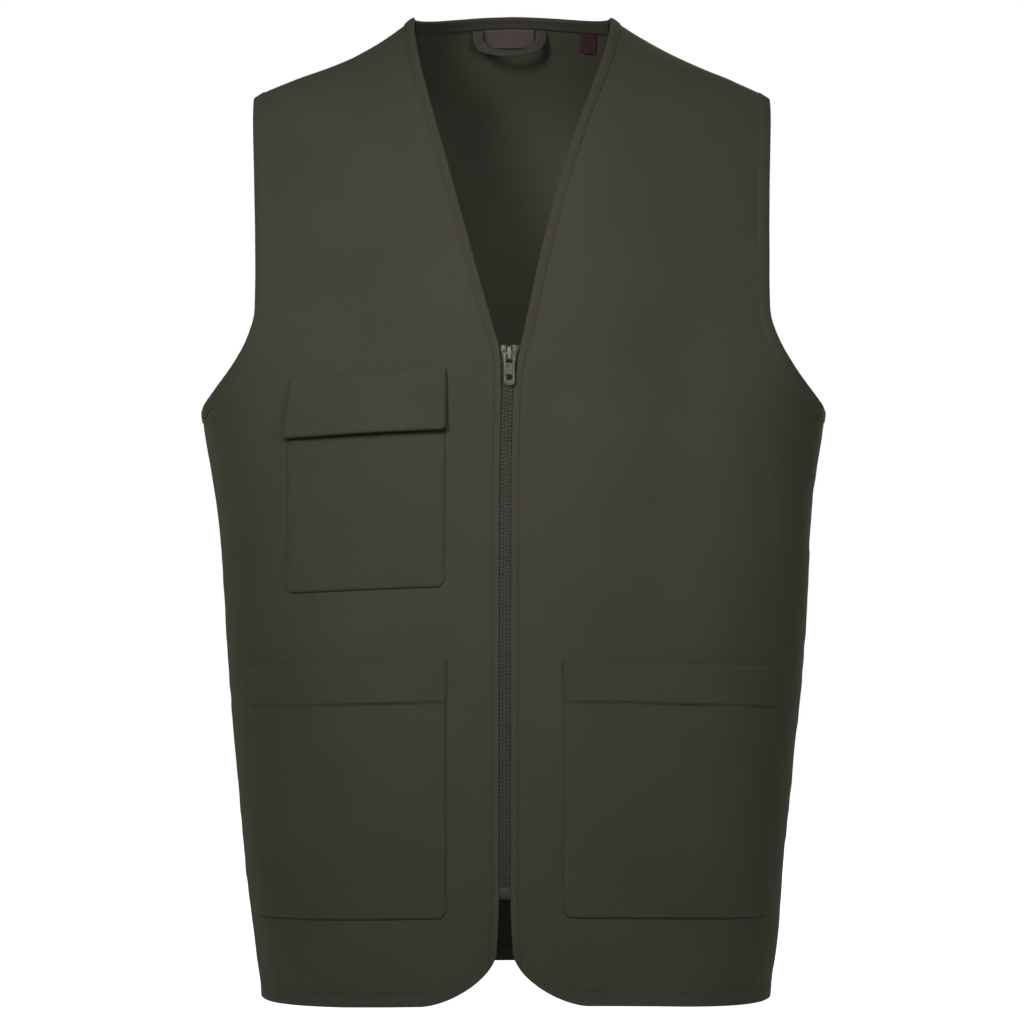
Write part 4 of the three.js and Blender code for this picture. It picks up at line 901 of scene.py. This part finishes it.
def patch(name, node_name, x, z, lift, thick, material, extra=0.0, bulge=0.35, seam=0.0, **facts):
    base, normal = on_front(x, z)
    u, v = arc_lengths(base, 1), arc_lengths(base, 0)
    edge = np.minimum(np.minimum(u, u[:, [-1]] - u), v)
    thick = thick * (1 - 0.45 * np.exp(-((edge / 2.2) ** 2)))
    # Painted shadow: a dark line along the patch's lower edge, and faint painted shade along its
    # sides
    seam = np.maximum(seam, 0.9 * line_mark(v, 0.9))
    seam = np.maximum(seam, 0.14 * line_mark(np.minimum(u, u[:, [-1]] - u), 0.9))
    outer = base + normal * (lift + thick + extra)[..., None]
    inner = base + normal * lift[..., None]
    add_sheet(name, outer, inner, material, "pocket_cloth", node_name, bulge, seam, **facts)
    return outer, normal


def border_line(outer, normal, inset):
    """Line at an inset from a patch's sides and lower edge, for its stitches"""
    u = arc_lengths(outer, 1)
    v = arc_lengths(outer, 0)
    rows, columns = outer.shape[:2]
    mid = columns // 2

    def at(row, distance, from_end):
        line = u[row, -1] - u[row] if from_end else u[row]
        order = np.argsort(line)
        both = np.concatenate([outer[row], normal[row]], 1)[order]
        return [np.interp(distance, line[order], both[:, k]) for k in range(6)]

    low = int(np.searchsorted(v[:, mid], inset))
    left = [at(r, inset, False) for r in range(rows - 1, low - 1, -1)]
    right = [at(r, inset, True) for r in range(low, rows)]
    keep = (u[low] > inset * 1.5) & (u[low, -1] - u[low] > inset * 1.5)
    bottom = np.concatenate([outer[low], normal[low]], 1)[keep]
    path = np.concatenate([left, bottom, right])
    return path[:, :3], path[:, 3:]


def row_line(outer, normal, z, level, inset=1.5):
    """Line across a patch at a level"""
    row = int(np.argmin(np.abs(z[:, z.shape[1] // 2] - level)))
    u = arc_lengths(outer, 1)[row]
    keep = (u > inset) & (u[-1] - u > inset)
    return outer[row][keep], normal[row][keep]


for name, sign in SIDES:
    inner_x = lambda z: inner_edge(sign, np.clip(z, ZIP_BOTTOM, ZIP_TOP - 80)) + sign * POCKET_INSET
    side_x = (180.6, 187.0) if sign < 0 else (183.0, 186.5)
    outer_x = lambda z: sign * np.interp(z, (POCKET_LOW, POCKET_TOP), side_x)
    near_band = (POCKET_BAND - POCKET_LOW) / (POCKET_TOP - POCKET_LOW) + np.arange(-6, 7) * 0.0028
    x, z, u, v = pocket_grid(inner_x, outer_x, POCKET_LOW, POCKET_TOP, 66, 72, 5.0, near_band)
    full = np.sin(np.pi * u) ** 0.5
    lift = 0.08 + 1.7 * full * np.sin(np.pi / 2 * v) ** 0.5
    gape = 2.6 * line_mark(u - (0.45 if sign < 0 else 0.2), 0.2) + 1.2 * line_mark(u - 0.72, 0.16)
    lift = lift + gape * v**14
    lift = lift + 0.5 * noise(u * 4 + sign, v * 3.5, 71) * full * np.sin(np.pi * v)
    double = 0.4 / (1 + np.exp(-(z - POCKET_BAND) / 0.8))
    seam = groove(z - POCKET_BAND, 0.7, 0.9)
    # Painted shade in the crease of the band's stitch line, its strength varying across the pocket
    pull = 0.55 + 0.45 * noise(u * 4.3 + 2 * sign, 0 * u, 83)
    outer, normal = patch(
        f"lower_pocket_cloth_{name}", f"lower_pocket_{name}", x, z, lift, CLOTH, POCKET_TWILL,
        extra=double + seam, seam=0.95 * pull * line_mark(z - POCKET_BAND + 0.3, 0.9),
        held="stretched", rests_on=[f"front_cloth_{name}"],
    )
    rows = [border_line(outer, normal, 1.7), row_line(outer, normal, z, POCKET_BAND)]
    add_stitches(f"lower_pocket_stitches_{name}", rows, f"lower_pocket_cloth_{name}")

chest_in = lambda z: inner_edge(-1, np.clip(z, 0, ZIP_TOP - 80)) - CHEST_INSET
chest_out = lambda z: inner_edge(-1, CHEST_LOW) - CHEST_OUTSET


def slant(x, z):
    """Share of the way from the chest pocket's inner side to its outer one"""
    return (chest_in(z) - x) / (chest_in(z) - chest_out(z))


near_flap = (FLAP_LOW - CHEST_LOW) / (CHEST_MOUTH - CHEST_LOW) + np.arange(-14, 6) * 0.004
x, z, u, v = pocket_grid(chest_in, chest_out, CHEST_LOW, CHEST_MOUTH, 44, 58, 4.0, near_flap)
z = z + 1.5 * (1 - v) - slant(x, z) * (1.7 + 4.6 * v)
full = np.sin(np.pi * u) ** 0.5
lift = 0.08 + 0.8 * full * np.sin(np.pi / 2 * v) ** 0.5
lift = lift + 0.35 * noise(u * 3 + 5, v * 3.5, 73) * full * np.sin(np.pi * v)
# Painted shadow under the flap: the pocket cloth darkens just below the flap's lower edge, and fully
# where the flap covers it
below = FLAP_LOW - slant(x, z) * FLAP_DROP - z
flap_shadow = np.where(below > 0, line_mark(below, 2.4 + 0.8 * noise(u * 5, 0 * u, 89)), 1)
outer, normal = patch(
    "chest_pocket_cloth", "chest_pocket", x, z, lift, CLOTH, POCKET_TWILL,
    seam=0.97 * flap_shadow, held="stretched", rests_on=["front_cloth_right"],
)
add_stitches("chest_pocket_stitches", [border_line(outer, normal, 1.7)], "chest_pocket_cloth")

flap_in = lambda z: chest_in(z) + 0.4
flap_out = lambda z: chest_out(z) - 1.5 + 4.5 * np.clip((z - FLAP_LOW) / (FLAP_TOP - FLAP_LOW), 0, 1)
x, z, u, v = pocket_grid(flap_in, flap_out, FLAP_LOW, FLAP_TOP, 48, 26, 1.5)
z = z - slant(x, z) * (FLAP_DROP + 2.0 * v)
down = 1 - v
over = 0.8 + 0.5 + CLOTH
lift = np.where(down < 0.28, lerp(0.3, over, np.sqrt(np.clip(down / 0.28, 0, 1))), over)
lift = lift + (2.6 + 0.8 * noise(u * 3 + 4, 0 * v, 79)) * down**2
lift = lift + 0.35 * noise(u * 4, v * 1.5, 77) * down
slots = groove(x - PEN_SLOTS[0], 0.25, 0.8) + groove(x - PEN_SLOTS[1], 0.25, 0.8)
outer, normal = patch(
    "chest_flap_cloth", "chest_pocket_flap", x, z, lift, 1.5, POCKET_TWILL, extra=slots,
    held="hung", rests_on=["front_cloth_right"],
)
rows = [border_line(outer, normal, 1.6), border_line(outer, normal, 6.5)]
rows.append((outer[-2, 1:-1], normal[-2, 1:-1]))
for across in PEN_SLOTS:
    column = int(np.argmin(np.abs(x[10] - across)))
    rows.append((outer[2:-1, column], normal[2:-1, column]))
add_stitches("chest_flap_stitches", rows, "chest_flap_cloth")


# Zip
def zip_points(reach, z, lift):
    x = zip_across(z) + reach
    step = 2.0
    base = np.stack([x, front_depth(x, z), z], -1)
    across = np.stack([x + step, front_depth(x + step, z), z], -1) - base
    up = np.stack([x, front_depth(x, z + step), z + step], -1) - base
    normal = unit(np.cross(across, up))
    return base + normal * np.asarray(lift)[..., None], normal


TAPE_FACE = -1.5
TAPE_MIDDLE = -2.0
for name, sign in SIDES:
    reach = np.array([0.15, 0.6, 1.4, 2.6, 3.6, 5, 7, 9, 11, 13, 15, 16.1])
    rise = np.array([-0.55, -0.3, -0.1, 0, 0, 0, 0, 0, 0, 0, 0, 0])
    z = np.linspace(ZIP_BOTTOM, ZIP_TOP, 190)[:, None] + 0 * reach
    outer, normal = zip_points(sign * reach, z, TAPE_FACE + rise + 0 * z)
    inner = outer - normal * 1.0
    add_sheet(
        f"zip_tape_cloth_{name}", outer, inner, TAPE, "tape_cloth", node=f"zip_tape_{name}",
        bulge=0.3, held="stretched", rests_on=[f"front_cloth_{name}"],
    )

TOOTH_PITCH = 2.6
TOOTH_HALF = 1.25
TOOTH_ROOT = 1.2
BOX_HEIGHT = 8.3
FIRST_TOOTH = 0.9
SLIDER_COVER = 5.6


def tooth_shape():
    """Half outline of a tooth in its own plane, as reach and half height, with cut corners"""
    return [(-1.3, 0.3), (-1.0, 0.56), (0.5, 0.6), (0.9, 0.42), (1.7, 0.52), (3.2, 0.66), (3.55, 0.5)]


for name, sign in SIDES:
    points, faces = [], []
    low = ZIP_BOTTOM + BOX_HEIGHT + FIRST_TOOTH
    high = ZIP_TOP - SLIDER_COVER
    places = np.arange(low + (0.5 * TOOTH_PITCH if sign > 0 else 0), high, TOOTH_PITCH)
    for middle in places:
        base = len(points)
        outline = [(r, h) for r, h in tooth_shape()] + [(r, -h) for r, h in reversed(tooth_shape())]
        reach = np.array([sign * r for r, _ in outline])
        z = np.array([middle + h for _, h in outline])
        for lift, shrink in ((1.0, 0.72), (0.7, 1), (-0.7, 1), (-1.0, 0.72)):
            zz = middle + (z - middle) * shrink
            root = sign * TOOTH_ROOT
            rr = root + (reach - root) * (0.9 + 0.1 * (shrink == 1))
            made, _ = zip_points(rr, zz, TAPE_MIDDLE + lift * TOOTH_HALF + 0 * zz)
            points += list(made)
        n = len(outline)
        faces.append([base + k for k in range(n)])
        faces.append([base + 3 * n + k for k in range(n)][::-1])
        for ring in range(3):
            for k in range(n):
                m = (k + 1) % n
                a, b = base + ring * n + k, base + ring * n + m
                faces.append([b, a, a + n, b + n])
    points = np.array(points)
    made = add_object(
        f"zip_row_{name}", points, orient(points, faces), TOOTH, sharp=35
    )
    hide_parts(f"zip_teeth_{name}")


def rounded_copy(node_name, name, body, material, width):
    """A metal part with its edges rounded"""
    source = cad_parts[node_name]
    mesh = source.data.copy()
    made = bpy.data.objects.new(name, mesh)
    bpy.context.scene.collection.objects.link(made)
    weld = made.modifiers.new("weld", "WELD")
    weld.merge_threshold = 0.00001
    bevel = made.modifiers.new("bevel", "BEVEL")
    bevel.width = width
    bevel.segments = 3
    bevel.limit_method = "ANGLE"
    bevel.angle_limit = math.radians(28)
    bevel.harden_normals = False
    mesh.materials.clear()
    mesh.materials.append(material)
    mesh.polygons.foreach_set("use_smooth", [True] * len(mesh.polygons))
    mesh.set_sharp_from_angle(angle=math.radians(40))
    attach(made, body)
    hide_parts(node_name)
    return made


rounded_copy("zip_slider", "slider_metal", "vest", NICKEL, 0.00022)
rounded_copy("zip_bottom_box", "bottom_box_metal", "vest", TOOTH, 0.0003)
rounded_copy("zip_pull", "pull_metal", "zip_pull", NICKEL, 0.0002)

# Back neck: tape, label, tab and loop
TAPE_INSIDE = -CLOTH - 0.3


def inside_back(x, z, lift):
    base, normal = on_back(x, z)
    return base + normal * np.asarray(lift)[..., None], normal


def neck_top(x):
    across = np.minimum(np.abs(x) / NECK_HALF, 1)
    return BODY + NAPE_RISE * (1 - across * across)


x = np.linspace(-72.3, 72.3, 80) + np.zeros((9, 1))
drop = np.array([7.5, 7.2, 6.6, 4.6, 3.75, 2.9, 1.0, 0.4, 0.1])[:, None]
rise = np.array([0.55, 0.2, 0, 0, 0.35, 0, 0, 0.15, 0.6])[:, None]
z = neck_top(x) - drop
outer, normal = inside_back(x, z, TAPE_INSIDE - 1.0 + rise + 0 * x)
inner, _ = inside_back(x, z, TAPE_INSIDE + 0 * x)
add_sheet(
    "neck_tape_cloth", outer, inner, TAPE, "tape_cloth", node="back_neck_tape", bulge=0.2,
    held="stretched", rests_on=["back_cloth"],
)


def label(name, node_name, centre, width, height, material, slot):
    u = np.linspace(-1, 1, 30)
    v = np.linspace(0, 1, 16)[:, None]
    x = centre + u * width / 2 + 0 * v
    top = neck_top(x) - 7.9
    z = top - height * (1 - v)
    edge = np.maximum(np.abs(u) ** 12, (1 - v) ** 10)
    curl = 0.5 * (1 - v) ** 2 * np.cos(u * 2)
    thick = 0.8 - 0.25 * edge
    outer, _ = inside_back(x, z, -CLOTH - 0.7 - thick - curl)
    inner, _ = inside_back(x, z, -CLOTH - 0.7 - curl)
    return add_sheet(
        name, outer, inner, material, slot, node=node_name, bulge=0.3,
        held="hung", rests_on=["neck_tape_cloth"],
    )


LABEL_HEIGHT = 12.5
label("neck_label_cloth", "neck_label", -2, 38, LABEL_HEIGHT, LABEL, "label_cloth")
label("size_tab_cloth", "size_tab", 58, 12, LABEL_HEIGHT, TAB, "tab_cloth")


def loop_centre(turn):
    feet = np.array([-26.5, 22.5])
    top, _ = inside_back(feet, neck_top(feet) - 7.5, np.full(2, TAPE_INSIDE - 1.3))
    share = ((1 - np.cos(turn)) / 2)[:, None]
    centre = lerp(top[0], top[1], share)
    centre[:, 2] -= 0.3 + 17 * np.maximum(np.sin(turn), 0) ** 0.5
    centre[:, 1] -= 2.5 * np.sin(turn)
    return centre


turn = np.linspace(0, np.pi, 61)
centre = loop_centre(turn)
tangent = np.gradient(centre, axis=0)
tangent[:, 1] = 0
tangent = unit(tangent)
dip = np.sin(turn) ** 2
width = lerp(8.0, 4.0, dip)
across = np.stack([-tangent[:, 2], 0 * turn, tangent[:, 0]], -1)
points = []
profile = np.linspace(0, 2 * np.pi, 16, endpoint=False)
for t in profile:
    side = np.sign(np.cos(t)) * abs(np.cos(t)) ** 0.6 / 2
    front = 0.6 - 0.6 * np.sign(np.sin(t)) * abs(np.sin(t)) ** 0.6
    twist = 0.35 * np.sin(3 * turn) * np.cos(t)
    point = centre + across * (side * width)[:, None]
    point[:, 1] -= front + twist
    points.append(point)
grid = np.stack(points, 1)
count, width_count = grid.shape[:2]
faces = []
for k in range(count - 1):
    for c in range(width_count):
        d = (c + 1) % width_count
        a, b = k * width_count, (k + 1) * width_count
        faces.append([a + c, a + d, b + d, b + c])
faces.append(list(range(width_count))[::-1])
faces.append([(count - 1) * width_count + c for c in range(width_count)])
flat = grid.reshape(-1, 3)
length = np.repeat(np.cumsum(np.r_[0, np.linalg.norm(np.diff(centre, axis=0), axis=1)]), width_count)
marks = {
    "cloth": np.stack([np.tile(profile * SECTION_ARC, count), length / 1000, 0 * length], -1),
    "wear": 0.3 + 0.4 * np.abs(np.cos(np.tile(profile, count))),
}
made = add_object("loop_strap", flat, orient(flat, faces), TAPE, marks=marks)
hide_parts("hanger_loop")


# Floor, light and camera
def floor_material():
    material, tree, shader = new_material("pale_floor")
    shader.inputs["Base Color"].default_value = (0.86, 0.86, 0.86, 1)
    shader.inputs["Emission Color"].default_value = (1, 1, 1, 1)
    seen = node(tree, "ShaderNodeLightPath").outputs["Is Camera Ray"]
    tree.links.new(calc(tree, "MULTIPLY", seen, 0.78), shader.inputs["Emission Strength"])
    shader.inputs["Roughness"].default_value = 0.9
    place = node(tree, "ShaderNodeTexCoord").outputs["Object"]
    far = node(tree, "ShaderNodeVectorMath", {0: place}, operation="LENGTH").outputs["Value"]
    fade = node(tree, "ShaderNodeMapRange", {0: far, 1: 0.9, 2: 2.4})
    clear = node(tree, "ShaderNodeBsdfTransparent")
    shaders = {0: fade.outputs[0], 1: shader.outputs[0], 2: clear.outputs[0]}
    both = node(tree, "ShaderNodeMixShader", shaders)
    out = next(n for n in tree.nodes if n.type == "OUTPUT_MATERIAL")
    tree.links.new(both.outputs[0], out.inputs["Surface"])
    return material


FLOOR_Z = -0.775
SPOKES = 64
rings = np.linspace(0.02, 1, 24) ** 1.3 * 2.6
spokes = np.linspace(0, 2 * np.pi, SPOKES, endpoint=False)
points = [[r * math.cos(t), r * math.sin(t), 0.0] for r in rings for t in spokes]
faces = []
for k in range(len(rings) - 1):
    a, b = k * SPOKES, (k + 1) * SPOKES
    for c in range(SPOKES):
        d = (c + 1) % SPOKES
        faces.append([a + c, a + d, b + d, b + c])
faces.append(list(range(SPOKES))[::-1])
floor_mesh = bpy.data.meshes.new("floor")
floor_mesh.from_pydata(points, [], faces)
floor_mesh.materials.append(floor_material())
floor = bpy.data.objects.new("floor", floor_mesh)
floor.location = (0, -0.07, FLOOR_Z)
bpy.context.scene.collection.objects.link(floor)

world = bpy.data.worlds.new("studio")
world.use_nodes = True
tree = world.node_tree
tree.nodes.clear()
seen = node(tree, "ShaderNodeLightPath").outputs["Is Camera Ray"]
strength = calc(tree, "MULTIPLY_ADD", seen, 0.97, 0.03)
shine = node(tree, "ShaderNodeBackground", {"Color": (1, 1, 1, 1), "Strength": strength})
node(tree, "ShaderNodeOutputWorld", {"Surface": shine.outputs[0]})
bpy.context.scene.world = world


def soft_light(name, place, target, size, power, spread=180):
    data = bpy.data.lights.new(name, "AREA")
    data.shape = "RECTANGLE"
    data.size, data.size_y = size
    data.energy = power
    data.spread = math.radians(spread)
    made = bpy.data.objects.new(name, data)
    made.location = place
    made.visible_camera = False
    made.rotation_euler = (Vector(target) - Vector(place)).to_track_quat("-Z", "Y").to_euler()
    bpy.context.scene.collection.objects.link(made)


soft_light("key", (-0.75, -1.55, 0.5), (-0.02, -0.1, -0.24), (0.45, 0.45), 2.5, 56)
soft_light("fill", (0.95, -1.6, -0.05), (0.05, -0.1, -0.22), (0.5, 0.5), 1.05, 56)
soft_light("front", (0, -3.0, -0.3), (0, 0, -0.3), (1.2, 1.0), 19)
soft_light("inside", (0, 0.0, -0.2), (0, 0.15, -0.2), (0.3, 0.24), 0.09, 150)
soft_light("rear", (0.6, 2.4, 0.3), (0, 0, -0.35), (1.6, 1.6), 38)

camera_data = bpy.data.cameras.new("camera")
camera_data.lens = 120.4
camera_data.sensor_width = 36
camera_data.clip_start = 0.05
camera = bpy.data.objects.new("camera", camera_data)
camera.location = (0, -2.56965, -0.372)
camera.rotation_euler = (math.pi / 2, 0, 0)
bpy.context.scene.collection.objects.link(camera)
bpy.context.scene.camera = camera
bpy.context.scene.view_settings.view_transform = "Standard"
